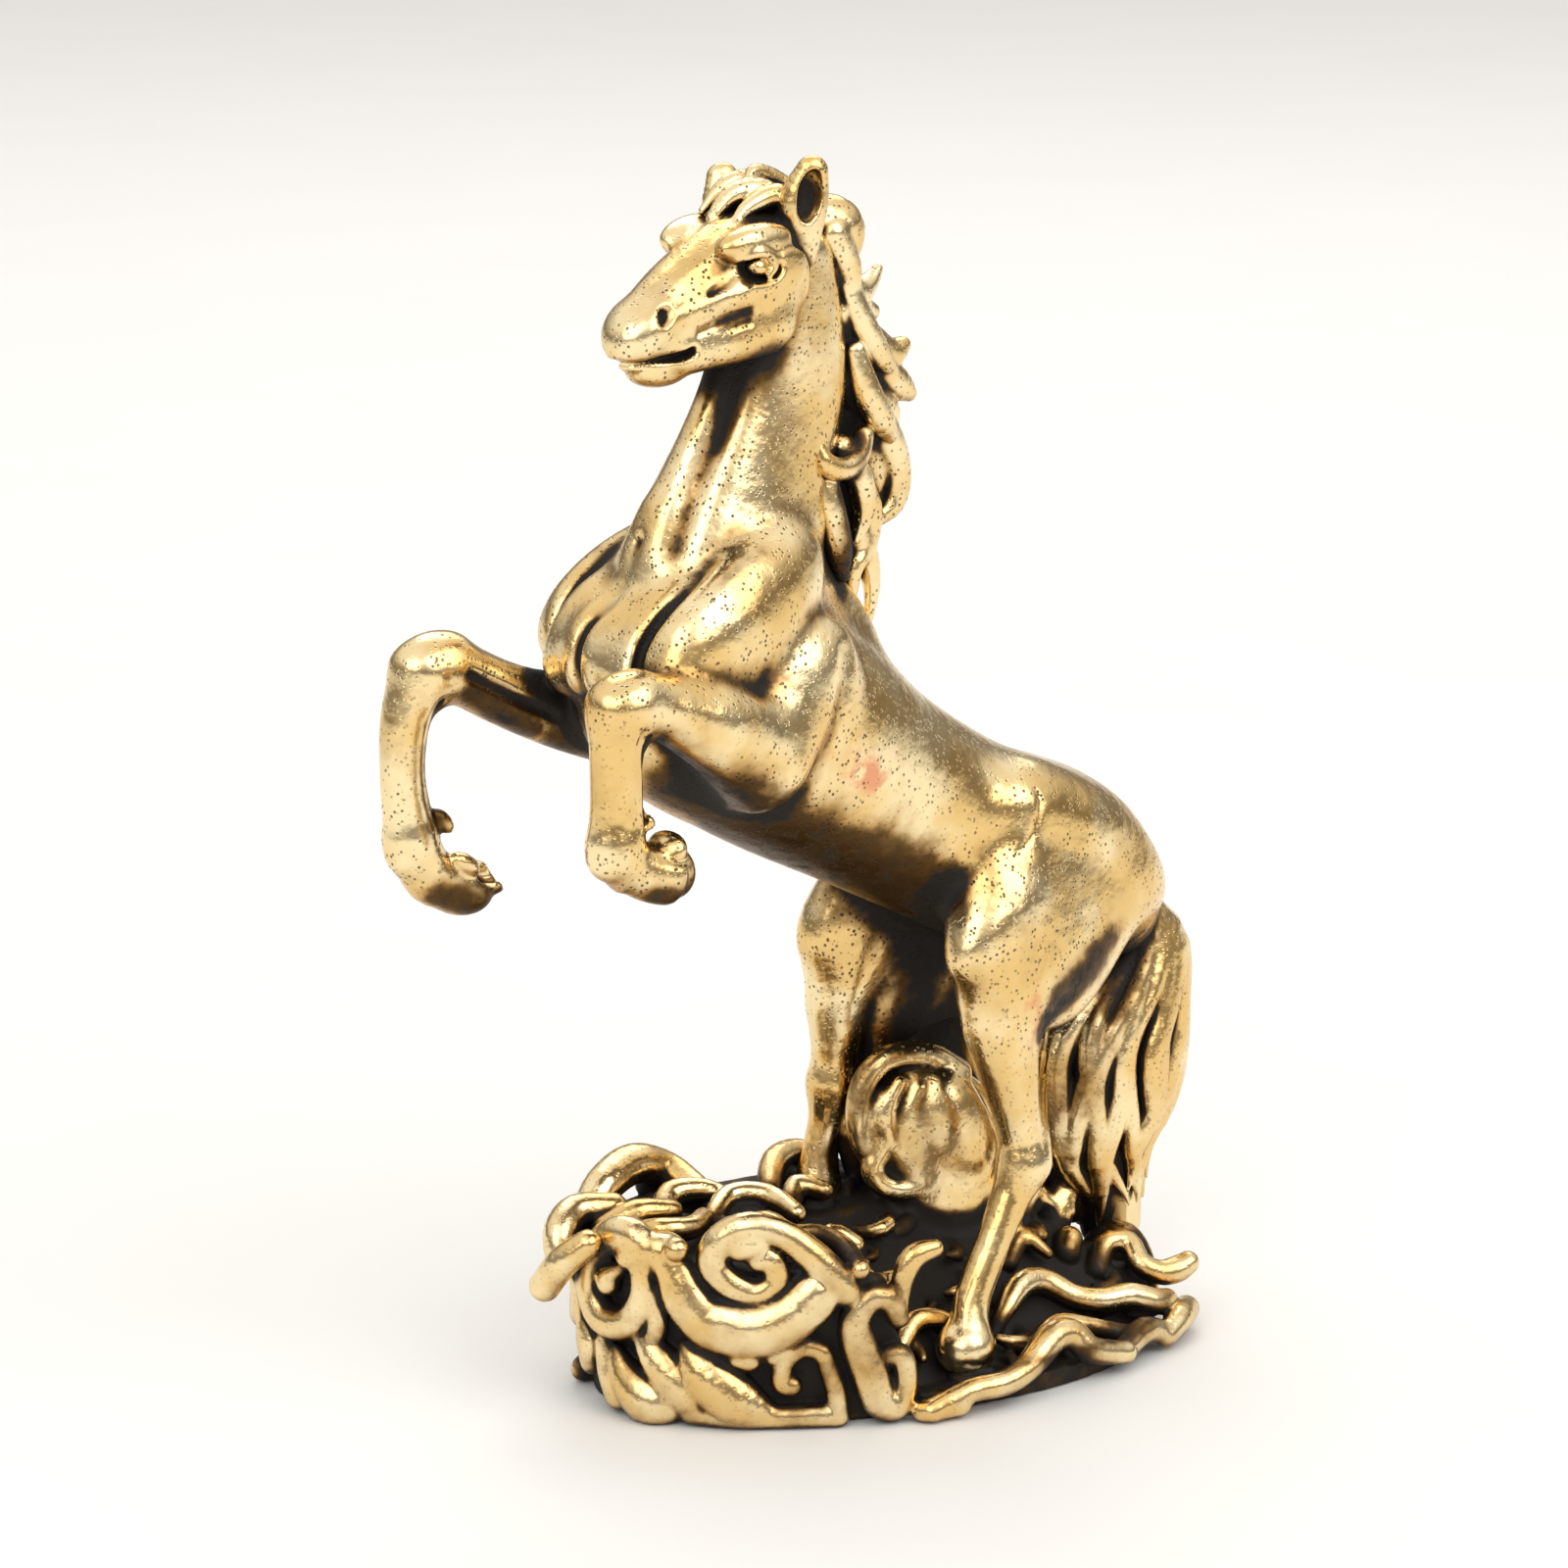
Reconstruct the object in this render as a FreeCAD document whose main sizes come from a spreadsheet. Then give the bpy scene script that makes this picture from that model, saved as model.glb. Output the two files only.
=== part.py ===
import FreeCAD, Part
import Sketcher

import math
import os

from FreeCAD import Placement, Rotation, Vector

# A small cast statuette: a horse rearing on its hind legs above a bank of scrolled clouds.
#
# Frame: millimetres, +Z up, origin at the centre of the base's flat underside. The horse faces -X,
# and its left side, which carries the lower hind hoof, faces -Y.
#
# The statuette is cast in sections that are coped onto each other, pinned with round dowels and
# brazed. Every section is one solid: the trunk takes the neck, the legs and the tail, the neck
# takes the head and the mane, and the cloud base takes the hind hooves, the tail's end and the
# cloud scrolls, which are cast apart and set on its rim.

doc = FreeCAD.newDocument("RearingHorseStatuette")
sheet = doc.addObject("Spreadsheet::Sheet", "dims")
cells_used = 0


def keep(alias, value):
    """Stores one driving dimension in the sheet and returns the expression that reads it."""
    global cells_used
    cells_used += 1
    sheet.set(f"A{cells_used}", alias)
    sheet.set(f"B{cells_used}", f"{value:g}")
    sheet.setAlias(f"B{cells_used}", alias)
    return f"dims.{alias}"


def bind(obj, sizes):
    """Binds each named property of obj to a sheet cell called after the object and the property."""
    for prop, (alias, value) in sizes.items():
        obj.setExpression(prop, keep(alias, value))
    return obj


def place(obj, x, y, z, rotation=None):
    """Puts obj at x, y, z, each bound to its own cell, turned by an optional fixed rotation."""
    obj.Placement = Placement(Vector(x, y, z), rotation or Rotation())
    name = obj.Name
    return bind(obj, {
        "Placement.Base.x": (f"{name}_x", x),
        "Placement.Base.y": (f"{name}_y", y),
        "Placement.Base.z": (f"{name}_z", z),
    })


# ---- Shapes that the cast sections are made of -------------------------------------------------

HEAD_TURN = 10.0        # the head is turned this far to its left, about the poll
POLL_X = -6.5           # where the skull turns on the neck

def oval(name, x, y, z, lean, depth, width, turn=0.0):
    """One cross-section of a limb. The limb runs along a line that leans by `lean` degrees from
    +Z towards +X, depth is the half size in the plane of symmetry and width the half size across.
    The section is then turned by `turn` degrees about +Z."""
    section = doc.addObject("Part::Ellipse", name)
    bind(section, {
        "MajorRadius": (f"{name}_depth", depth),
        "MinorRadius": (f"{name}_width", width),
    })
    upright = Rotation(Vector(0, 1, 0), lean)
    return place(section, x, y, z, Rotation(Vector(0, 0, 1), turn).multiply(upright))


def limb(name, stations, side=0.0, turn=0.0):
    """A closed body lofted through oval stations (x, z, lean, depth, width[, y]).
    Stations with no y of their own lie at `side`. The whole body is turned by `turn` degrees
    about the poll, as the head is."""
    sections = []
    for number, station in enumerate(stations, 1):
        x, z, lean, depth, width = station[:5]
        y = station[5] if len(station) > 5 else side
        if turn:
            at = Rotation(Vector(0, 0, 1), turn).multVec(Vector(x - POLL_X, y, 0))
            x, y = round(at.x + POLL_X, 3), round(at.y, 3)
        sections.append(oval(f"{name}_{number}", x, y, z, lean, depth, width, turn))
    loft = doc.addObject("Part::Loft", name)
    loft.Sections = sections
    loft.Solid = True
    loft.Ruled = False
    return loft


def ball(name, x, y, z, radius):
    """A round joint mass, such as a knee or a hock."""
    sphere = doc.addObject("Part::Sphere", name)
    bind(sphere, {"Radius": (f"{name}_radius", radius)})
    return place(sphere, x, y, z)


def rod(name, start, end, radius):
    """A round dowel from start to end."""
    start, end = Vector(*start), Vector(*end)
    pin = doc.addObject("Part::Cylinder", name)
    bind(pin, {
        "Radius": (f"{name}_radius", radius),
        "Height": (f"{name}_length", (end - start).Length),
    })
    return place(pin, *start, Rotation(Vector(0, 0, 1), end - start))


def fuse(name, *shapes):
    """One casting made of several masses."""
    joined = doc.addObject("Part::MultiFuse", name)
    joined.Shapes = list(shapes)
    joined.Refine = False
    return joined


def cut(name, body, *tools):
    """body, coped to fit the tools."""
    for number, tool in enumerate(tools, 1):
        step = doc.addObject("Part::Cut", name if number == len(tools) else f"{name}_fit{number}")
        step.Base, step.Tool = body, tool
        body = step
    return body


# ---- Trunk, neck and head ----------------------------------------------------------------------

def make_trunk():
    return limb("trunk_mass", [
        (15.8, 20.6, -50, 2.4, 2.3),   # point of the buttock
        (13.2, 22.6, -55, 4.2, 4.1),
        (9.4, 24.6, -60, 5.1, 5.0),    # croup
        (4.9, 26.8, -62, 4.9, 4.8),    # loin and flank
        (-0.6, 30.0, -58, 5.2, 5.1),
        (-5.6, 33.4, -54, 6.0, 5.6),   # girth
        (-10.2, 36.4, -55, 6.1, 5.6),  # shoulders
        (-14.0, 38.2, -62, 4.9, 4.4),
        (-16.6, 39.2, -66, 2.4, 2.2),  # front of the chest
    ])


def make_neck():
    return limb("neck_mass", [
        (-9.6, 38.2, 14, 6.3, 4.3),
        (-9.8, 42.4, 4, 5.5, 4.0),
        (-8.9, 46.6, 10, 4.0, 3.0),
        (-7.7, 50.6, 14, 3.0, 2.3),
        (-6.9, 53.8, 14, 2.7, 2.1),
        (-6.1, 57.0, 14, 2.3, 1.9),
    ])


def make_head():
    return limb("head_mass", [
        (-5.2, 56.6, -106, 2.4, 2.0),
        (-7.2, 56.3, -106, 3.1, 2.3),
        (-9.4, 55.9, -106, 3.2, 2.6),   # brow and jowl
        (-11.8, 55.1, -106, 2.7, 2.1),
        (-13.9, 54.3, -106, 2.2, 1.6),  # bridge of the nose
        (-15.6, 53.7, -106, 1.9, 1.6),  # muzzle
        (-16.9, 53.3, -106, 1.2, 1.15),
    ], turn=HEAD_TURN)


def make_ear(side_name, side, tip_x, tip_z):
    root_z = tip_z - 3.2
    return limb(f"{side_name}_ear_mass", [
        (tip_x - 0.3, root_z, 0, 1.0, 0.7, side * 0.75),
        (tip_x - 0.2, root_z + 1.6, 4, 0.9, 0.6, side * 0.9),
        (tip_x, tip_z, 4, 0.25, 0.2, side),
    ], turn=HEAD_TURN)


# ---- Legs --------------------------------------------------------------------------------------

def make_left_foreleg():
    side = -5.5
    forearm = limb("left_forearm", [
        (-8.8, 33.4, -60, 2.6, 2.1, -4.2),
        (-12.6, 35.0, -60, 1.9, 1.8, -5.3),
        (-15.9, 36.8, -60, 1.6, 1.5),
        (-18.9, 38.5, -60, 1.5, 1.4),
    ], side)
    knee = ball("left_knee", -19.5, side, 38.6, 1.75)
    cannon = limb("left_fore_cannon", [
        (-19.8, 38.4, -174, 1.6, 1.5),
        (-20.1, 35.5, 180, 1.4, 1.3),
        (-20.3, 32.8, 178, 1.35, 1.3),
        (-20.3, 31.2, 172, 1.6, 1.4),
    ], side)
    hoof = limb("left_fore_hoof", [
        (-20.4, 31.2, 128, 1.2, 1.15),
        (-18.7, 30.1, 113, 1.2, 1.15),
        (-17.6, 29.9, 100, 1.4, 1.35),
        (-16.6, 29.9, 95, 1.5, 1.45),
    ], side)
    return fuse("left_foreleg_mass", forearm, knee, cannon, hoof)


def make_right_foreleg():
    side = 5.0
    forearm = limb("right_forearm", [
        (-10.0, 33.6, -66, 2.6, 2.1, 4.0),
        (-14.8, 34.6, -66, 1.9, 1.8),
        (-18.6, 36.1, -62, 1.6, 1.5),
        (-22.0, 38.3, -58, 1.5, 1.4),
    ], side)
    knee = ball("right_knee", -22.9, side, 38.8, 1.75)
    cannon = limb("right_fore_cannon", [
        (-23.5, 38.5, -152, 1.55, 1.4),
        (-24.6, 36.4, -170, 1.4, 1.3),
        (-24.7, 33.4, 176, 1.3, 1.25),
        (-24.0, 30.4, 165, 1.45, 1.35),
    ], side)
    hoof = limb("right_fore_hoof", [
        (-24.0, 30.8, 160, 1.25, 1.2),
        (-23.2, 28.8, 145, 1.15, 1.1),
        (-22.2, 27.9, 118, 1.2, 1.15),
        (-20.6, 27.3, 104, 1.45, 1.4),
    ], side)
    return fuse("right_foreleg_mass", forearm, knee, cannon, hoof)


def make_left_hind_leg():
    thigh = limb("left_thigh", [
        (8.4, 25.6, -135, 4.6, 2.4, -3.2),
        (5.4, 21.6, -150, 3.8, 2.3, -4.5),
        (3.8, 18.6, -172, 2.3, 1.8, -5.1),
        (4.0, 14.4, 172, 1.6, 1.4, -5.5),
        (4.5, 11.2, 172, 1.35, 1.2, -5.7),
    ])
    hock = ball("left_hock", 4.7, -5.8, 10.8, 1.45)
    cannon = limb("left_hind_cannon", [
        (4.6, 10.8, -156, 1.25, 1.15, -5.8),
        (2.8, 7.6, -153, 1.05, 1.0, -6.0),
        (1.2, 4.9, -155, 0.95, 0.9, -6.2),
        (0.4, 3.2, -160, 1.1, 1.05, -6.5),
    ])
    hoof = ball("left_hind_hoof", 0.2, -6.7, 2.6, 1.45)
    return fuse("left_hind_leg_mass", thigh, hock, cannon, hoof)


def make_right_hind_leg():
    thigh = limb("right_thigh", [
        (5.2, 25.0, -150, 3.6, 2.0, 3.4),
        (2.2, 21.0, -165, 2.6, 2.0, 4.4),
        (1.2, 18.0, 180, 1.8, 1.6, 4.6),
        (1.0, 15.5, 180, 1.3, 1.2, 4.8),
        (1.1, 13.2, 178, 1.2, 1.1, 4.8),
    ])
    hock = ball("right_hock", 1.2, 4.8, 13.0, 1.35)
    cannon = limb("right_hind_cannon", [
        (1.2, 13.0, -170, 1.15, 1.1, 4.8),
        (0.6, 10.6, -170, 1.05, 1.0, 5.0),
        (0.3, 9.2, -175, 1.2, 1.15, 5.0),
        (0.1, 7.2, 180, 1.45, 1.4, 5.0),
    ])
    return fuse("right_hind_leg_mass", thigh, hock, cannon)


# ---- Hair --------------------------------------------------------------------------------------

def make_tail():
    return limb("tail_mass", [
        (15.4, 20.6, 110, 1.2, 1.1),
        (17.6, 19.4, 138, 1.7, 1.4),
        (18.5, 17.2, 165, 2.3, 1.8),
        (18.0, 14.4, -170, 3.0, 2.1),
        (16.8, 11.4, -164, 3.4, 2.3),
        (15.8, 8.4, -168, 3.3, 2.3),
        (15.6, 5.4, 180, 3.1, 2.2),
        (15.6, 3.2, 180, 2.9, 2.1),
    ])


def make_mane():
    side = 0.5
    crest = limb("mane_crest", [
        (-4.4, 59.0, 150, 1.3, 1.0),
        (-3.2, 56.6, 168, 1.9, 1.2),
        (-3.0, 53.0, 178, 2.1, 1.2),
        (-3.1, 49.6, 178, 2.5, 1.3),
        (-3.0, 46.0, 174, 3.1, 1.5),
        (-2.4, 42.6, 172, 2.9, 1.4),
        (-1.8, 40.2, 170, 1.9, 1.1),
    ], side)
    locks = [
        limb("mane_flick", [
            (-2.6, 55.4, 118, 0.8, 0.7),
            (-1.0, 54.6, 105, 0.7, 0.6),
            (0.5, 54.3, 92, 0.3, 0.25),
        ], side),
        limb("mane_curl", [
            (-2.4, 51.6, 130, 1.1, 0.9),
            (0.0, 50.2, 118, 1.1, 0.9),
            (1.9, 48.9, 128, 0.6, 0.5),
        ], side),
        limb("mane_wave", [
            (-1.8, 48.4, 130, 1.0, 0.9),
            (0.6, 46.4, 150, 0.9, 0.8),
            (1.6, 44.4, 178, 0.8, 0.7),
            (1.0, 42.6, -160, 0.4, 0.35),
        ], side),
        limb("mane_drop", [
            (-0.6, 42.0, 175, 0.7, 0.6),
            (0.0, 40.4, 178, 0.5, 0.45),
            (-0.4, 38.6, -172, 0.35, 0.3),
        ], side),
    ]
    return fuse("mane_mass", crest, *locks)


def make_forelock():
    side = 0.2
    return limb("forelock_mass", [
        (-5.0, 59.2, -92, 0.9, 0.85),
        (-7.2, 59.7, -98, 0.95, 0.9),
        (-8.8, 59.4, -112, 0.8, 0.75),
        (-10.0, 58.7, -125, 0.4, 0.35),
    ], side, HEAD_TURN)


# ---- Cloud base --------------------------------------------------------------------------------

BASE_LONG = 15.6        # half length of the oval footprint
BASE_SHORT = 8.8        # half width of the footprint
BASE_TURN = -18.0       # the footprint's long axis, in degrees from +X
BASE_HEIGHT = 8.6       # highest deck, under the chest and the right hind hoof


def add_polygon(sketch, points):
    """Closed outline of straight edges, with each corner's place bound to the sheet."""
    edges = [
        sketch.addGeometry(Part.LineSegment(Vector(*start, 0), Vector(*end, 0)), False)
        for start, end in zip(points, points[1:] + points[:1])
    ]
    for edge, following in zip(edges, edges[1:] + edges[:1]):
        sketch.addConstraint(Sketcher.Constraint("Coincident", edge, 2, following, 1))
    for number, (edge, corner) in enumerate(zip(edges, points), 1):
        for kind, value, axis in (("DistanceX", corner[0], -2), ("DistanceY", corner[1], -1)):
            if value == 0:
                sketch.addConstraint(Sketcher.Constraint("PointOnObject", edge, 1, axis))
                continue
            size = sketch.addConstraint(Sketcher.Constraint(kind, -1, 1, edge, 1, value))
            alias = f"{sketch.Name}_{kind[-1].lower()}{number}"
            sketch.setExpression(f"Constraints[{size}]", keep(alias, value))


def sketch_on(body, role, name, offset):
    """A sketch on one of body's own origin planes, moved by offset."""
    plane = next(p for p in body.Origin.OriginFeatures if p.Role == role)
    sketch = body.newObject("Sketcher::SketchObject", name)
    sketch.AttachmentSupport = [(plane, "")]
    sketch.MapMode = "FlatFace"
    sketch.AttachmentOffset = offset
    return sketch


def make_cloud_block():
    """The oval block of the base, with the deck that falls away to the left hind hoof and the tail."""
    body = doc.addObject("PartDesign::Body", "cloud_block")
    turned = Placement(Vector(), Rotation(Vector(0, 0, 1), BASE_TURN))
    footprint = sketch_on(body, "XY_Plane", "footprint", turned)
    oval_edge = footprint.addGeometry(Part.Ellipse(Vector(), BASE_LONG, BASE_SHORT), False)
    footprint.exposeInternalGeometry(oval_edge)
    long_axis, short_axis = oval_edge + 1, oval_edge + 2
    footprint.addConstraint(Sketcher.Constraint("Coincident", oval_edge, 3, -1, 1))
    footprint.addConstraint(Sketcher.Constraint("Horizontal", long_axis))
    for axis, alias, half in (
        (long_axis, "base_long", BASE_LONG),
        (short_axis, "base_short", BASE_SHORT),
    ):
        size = footprint.addConstraint(Sketcher.Constraint("Distance", axis, 2 * half))
        footprint.setExpression(f"Constraints[{size}]", f"2 * {keep(alias, half)}")
    pad = body.newObject("PartDesign::Pad", "block_pad")
    pad.Profile = footprint
    pad.setExpression("Length", keep("base_height", BASE_HEIGHT))
    doc.recompute()
    whole = body.Shape.Volume

    # The left side falls from the middle of the deck to a low step for the hoof.
    step_start = -4.0
    left_fall = sketch_on(body, "YZ_Plane", "left_fall", Placement(Vector(0, 0, step_start), Rotation()))
    add_polygon(left_fall, [(-14, 1.4), (-6.4, 1.5), (1.8, 7.4), (1.8, 14), (-14, 14)])
    left_pocket = body.newObject("PartDesign::Pocket", "left_pocket")
    left_pocket.Profile = left_fall
    left_pocket.Reversed = True
    left_pocket.Length = 30.0

    # The rear end falls to the foot of the tail.
    rear_fall = sketch_on(body, "XZ_Plane", "rear_fall", Placement())
    add_polygon(rear_fall, [(7.0, 12), (7.0, 7.6), (12.5, 3.6), (20, 2.8), (20, 12)])
    rear_pocket = body.newObject("PartDesign::Pocket", "rear_pocket")
    rear_pocket.Profile = rear_fall
    rear_pocket.Midplane = True
    rear_pocket.Length = 40.0
    doc.recompute()
    assert body.Shape.Volume < 0.85 * whole, "the falls of the deck cut nothing"
    return body


# Cloud scrolls set on the rim: name, angle round the footprint in degrees, height of the centre,
# radius of the scroll, and how far it stands out of the block.
SCROLLS = [
    ("front_cloud_scroll", -126, 6.4, 3.0, 1.5),
    ("corner_cloud_scroll", -163, 6.2, 2.8, 1.4),
    ("curl_cloud_scroll", -112, 2.4, 1.6, 0.9),
    ("ladle_cloud_scroll", -101, 4.0, 2.3, 1.2),
    ("rear_cloud_scroll", 18, 2.6, 2.0, 1.2),
    ("right_rear_cloud_scroll", 62, 3.9, 2.6, 1.2),
    ("right_cloud_scroll", 99, 4.4, 2.8, 1.4),
    ("right_front_cloud_scroll", 134, 5.2, 2.8, 1.4),
    ("toe_cloud_scroll", 168, 5.8, 2.4, 1.4),
]


# Half section of a scroll, from its hidden foot to its rim, its raised ring and its dished middle:
# distance from the axis in radii, and height above the block in shares of how far it stands out.
SCROLL_SECTION = [
    (0, -1.2), (0.9, -1.2), (1.0, 0.25), (0.9, 0.7), (0.68, 1.0),
    (0.5, 0.85), (0.36, 0.55), (0.2, 0.7), (0, 0.9),
]


def make_scroll(name, angle, height, radius, proud):
    """A round boss of cloud with a raised ring and a bead in the middle, square to the rim."""
    body = doc.addObject("PartDesign::Body", f"{name}_mass")
    section = sketch_on(body, "XZ_Plane", f"{name}_section", Placement())
    add_polygon(section, [(out * radius, up * proud) for out, up in SCROLL_SECTION])
    turned = body.newObject("PartDesign::Revolution", f"{name}_turned")
    turned.Profile = section
    turned.ReferenceAxis = (section, ["V_Axis"])
    turned.Angle = 360.0

    at = math.radians(angle)
    turn = Rotation(Vector(0, 0, 1), BASE_TURN)
    edge = turn.multVec(Vector(BASE_LONG * math.cos(at), BASE_SHORT * math.sin(at), height))
    outward = turn.multVec(Vector(math.cos(at) / BASE_LONG, math.sin(at) / BASE_SHORT, 0))
    return place(body, *edge, Rotation(Vector(0, 0, 1), outward))


def make_waves():
    """The three ridges of cloud that lie on the low left side, round the hind hoof."""
    return {
        "upper_cloud_wave": limb("upper_wave_mass", [
            (3.0, 2.6, 70, 0.4, 0.35, -4.9),
            (5.6, 3.9, 85, 1.0, 0.8, -4.4),
            (8.0, 2.9, 105, 1.0, 0.9, -5.6),
            (10.4, 2.3, 92, 1.1, 1.0, -6.6),
            (13.0, 2.0, 90, 0.9, 0.8, -6.8),
        ]),
        "lower_cloud_wave": limb("lower_wave_mass", [
            (-2.4, 0.8, 85, 0.6, 0.5, -8.6),
            (0.6, 1.4, 75, 0.8, 0.8, -9.0),
            (3.6, 1.9, 80, 0.9, 0.9, -8.9),
            (6.4, 2.0, 100, 1.1, 0.9, -8.6),
            (9.6, 1.2, 96, 0.9, 0.8, -8.6),
        ]),
        "tail_cloud_curl": limb("tail_curl_mass", [
            (11.6, 3.6, 60, 0.9, 0.9, -3.6),
            (13.4, 3.9, 95, 1.0, 1.0, -4.8),
            (15.0, 3.2, 120, 0.9, 0.9, -5.6),
            (16.0, 2.6, 120, 0.6, 0.6, -6.0),
        ]),
    }


def make_cloud_bank():
    """The tall curl of cloud that rises under the belly, beside the right hind leg."""
    return limb("cloud_bank_mass", [
        (6.0, 6.0, 0, 4.6, 3.0),
        (6.0, 8.6, 0, 4.4, 3.0),
        (5.6, 11.4, 0, 3.6, 2.5),
        (5.2, 13.6, 0, 2.0, 1.5),
    ], side=1.6)


# ---- Assembly ----------------------------------------------------------------------------------

DOWEL = 0.6             # radius of the dowels between sections
TENON = 0.55            # radius of the tenons from the hooves into the base

trunk = make_trunk()
neck = make_neck()
head = make_head()
left_foreleg = make_left_foreleg()
right_foreleg = make_right_foreleg()
left_hind_leg = make_left_hind_leg()
right_hind_leg = make_right_hind_leg()
tail = make_tail()
mane = make_mane()
forelock = make_forelock()
ears = [make_ear("left", -2.2, -6.2, 61.6), make_ear("right", 2.2, -7.5, 61.0)]
block = make_cloud_block()
bank = make_cloud_bank()

# Dowels between the castings: name, start, end and radius.
DOWELS = [
    ("neck_dowel", (-9.2, 0, 38.5), (-9.0, 0, 47.5), 1.0),
    ("head_dowel", (-7.0, 0, 53.6), (-8.6, 0, 55.8), DOWEL),
    ("left_foreleg_dowel", (-8.4, -2.6, 33.6), (-13.0, -5.2, 35.3), DOWEL),
    ("right_foreleg_dowel", (-9.4, 2.4, 33.6), (-15.2, 4.9, 34.8), DOWEL),
    ("left_hind_leg_dowel", (8.2, -1.8, 24.4), (6.4, -5.2, 22.4), DOWEL),
    ("right_hind_leg_dowel", (7.4, 1.8, 24.4), (4.6, 5.0, 21.4), DOWEL),
    ("tail_dowel", (14.2, 0, 21.4), (17.6, 0, 19.2), DOWEL),
]
TENONS = [
    ("left_hoof_tenon", (0.2, -6.7, 0.5), (0.2, -6.7, 3.0), TENON),
    ("right_hoof_tenon", (0.1, 5.0, 5.0), (0.1, 5.0, 8.8), TENON),
    ("tail_tenon", (15.0, -1.0, 0.8), (15.3, -1.0, 5.4), TENON),
]
dowels = {name: rod(name, start, end, radius) for name, start, end, radius in DOWELS + TENONS}

castings = {
    "trunk": cut("trunk", trunk, *(dowels[n] for n in (
        "neck_dowel", "left_foreleg_dowel", "right_foreleg_dowel",
        "left_hind_leg_dowel", "right_hind_leg_dowel", "tail_dowel"))),
    "neck": cut("neck", neck, trunk, dowels["neck_dowel"], dowels["head_dowel"]),
    "head": cut("head", head, neck, dowels["head_dowel"]),
    "left_ear": cut("left_ear", ears[0], head, neck),
    "right_ear": cut("right_ear", ears[1], head, neck),
    "forelock": cut("forelock", forelock, head, neck, *ears),
    "mane": cut("mane", mane, neck, trunk, head, *ears, forelock),
    "left_foreleg": cut("left_foreleg", left_foreleg, trunk, dowels["left_foreleg_dowel"]),
    "right_foreleg": cut("right_foreleg", right_foreleg, trunk, dowels["right_foreleg_dowel"]),
    "left_hind_leg": cut("left_hind_leg", left_hind_leg, trunk,
                         dowels["left_hind_leg_dowel"], dowels["left_hoof_tenon"]),
    "right_hind_leg": cut("right_hind_leg", right_hind_leg, trunk,
                          dowels["right_hind_leg_dowel"], dowels["right_hoof_tenon"]),
    "tail": cut("tail", tail, trunk, dowels["tail_dowel"], dowels["tail_tenon"]),
    "cloud_base": cut("cloud_base", block, left_hind_leg, right_hind_leg, tail,
                      *(dowels[n] for n, *_ in TENONS)),
    "cloud_bank": cut("cloud_bank", bank, block, right_hind_leg, left_hind_leg),
}
blanks = {name: make_scroll(name, *sizes) for name, *sizes in SCROLLS}
blanks.update(make_waves())
fitted = []
for name, blank in blanks.items():
    castings[name] = cut(name, blank, block, left_hind_leg, tail, *fitted[-2:])
    fitted.append(blank)

# Pins of one kind share a node as separate solids.
for group, members in (("section_dowels", DOWELS), ("base_tenons", TENONS)):
    pins = doc.addObject("Part::Compound", group)
    pins.Links = [dowels[name] for name, *_ in members]
    castings[group] = pins

doc.recompute()

# ---- Checks and export -------------------------------------------------------------------------

failed = [o.Name for o in doc.Objects if {"Invalid", "Error"} & set(o.State)]
assert not failed, f"objects that failed to build: {failed}"

os.makedirs("parts", exist_ok=True)
for name, casting in castings.items():
    casting.Label = name
    shape = casting.Shape
    assert not shape.isNull() and shape.isValid(), f"{name} has no valid shape"
    box = shape.BoundBox
    print(f"{name}: {len(shape.Solids)} solid(s), {shape.Volume:.1f} mm3, "
          f"x {box.XMin:.1f} to {box.XMax:.1f}, y {box.YMin:.1f} to {box.YMax:.1f}, "
          f"z {box.ZMin:.1f} to {box.ZMax:.1f}")
    shape.exportStep(os.path.join("parts", f"{name}.step"))
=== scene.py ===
# %% [markdown]
# # A small brass horse, rearing above scrolled clouds
#
# This lesson dresses a packed CAD model of a cast brass figurine. The CAD solids are plain masses.
# All but the hidden pins are replaced by sculpted skins of about the same size in the same place,
# with muscles, hair, cloud scrolls, and the dark patina that stays in every recess when cast
# brass is polished.
# Lengths are in millimetres until a mesh is made, and the horse faces -X with its left side to -Y.

# %% Load the packed frame
import math

import bpy
import numpy as np
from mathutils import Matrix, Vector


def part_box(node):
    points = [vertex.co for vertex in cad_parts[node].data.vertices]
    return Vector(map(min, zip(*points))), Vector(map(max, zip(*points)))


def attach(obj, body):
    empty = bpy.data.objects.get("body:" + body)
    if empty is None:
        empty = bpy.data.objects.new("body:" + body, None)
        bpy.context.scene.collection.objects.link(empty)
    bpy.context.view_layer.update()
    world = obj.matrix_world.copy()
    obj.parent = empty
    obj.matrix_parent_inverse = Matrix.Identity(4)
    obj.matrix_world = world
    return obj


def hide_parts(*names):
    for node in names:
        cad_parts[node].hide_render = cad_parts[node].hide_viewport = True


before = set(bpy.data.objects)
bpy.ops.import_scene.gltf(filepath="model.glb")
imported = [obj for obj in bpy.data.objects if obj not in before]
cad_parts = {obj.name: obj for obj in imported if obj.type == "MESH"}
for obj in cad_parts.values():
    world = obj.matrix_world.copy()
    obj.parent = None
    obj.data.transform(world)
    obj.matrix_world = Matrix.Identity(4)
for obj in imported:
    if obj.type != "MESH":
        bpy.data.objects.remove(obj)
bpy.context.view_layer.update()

MM = 0.001

# %% [markdown]
# ## The finish
#
# Shader maths reads best as plain expressions. A wrapped socket turns `1 - dirt * 0.5` into Math
# nodes, so the material below says what the finish does instead of how its nodes are joined.

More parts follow.
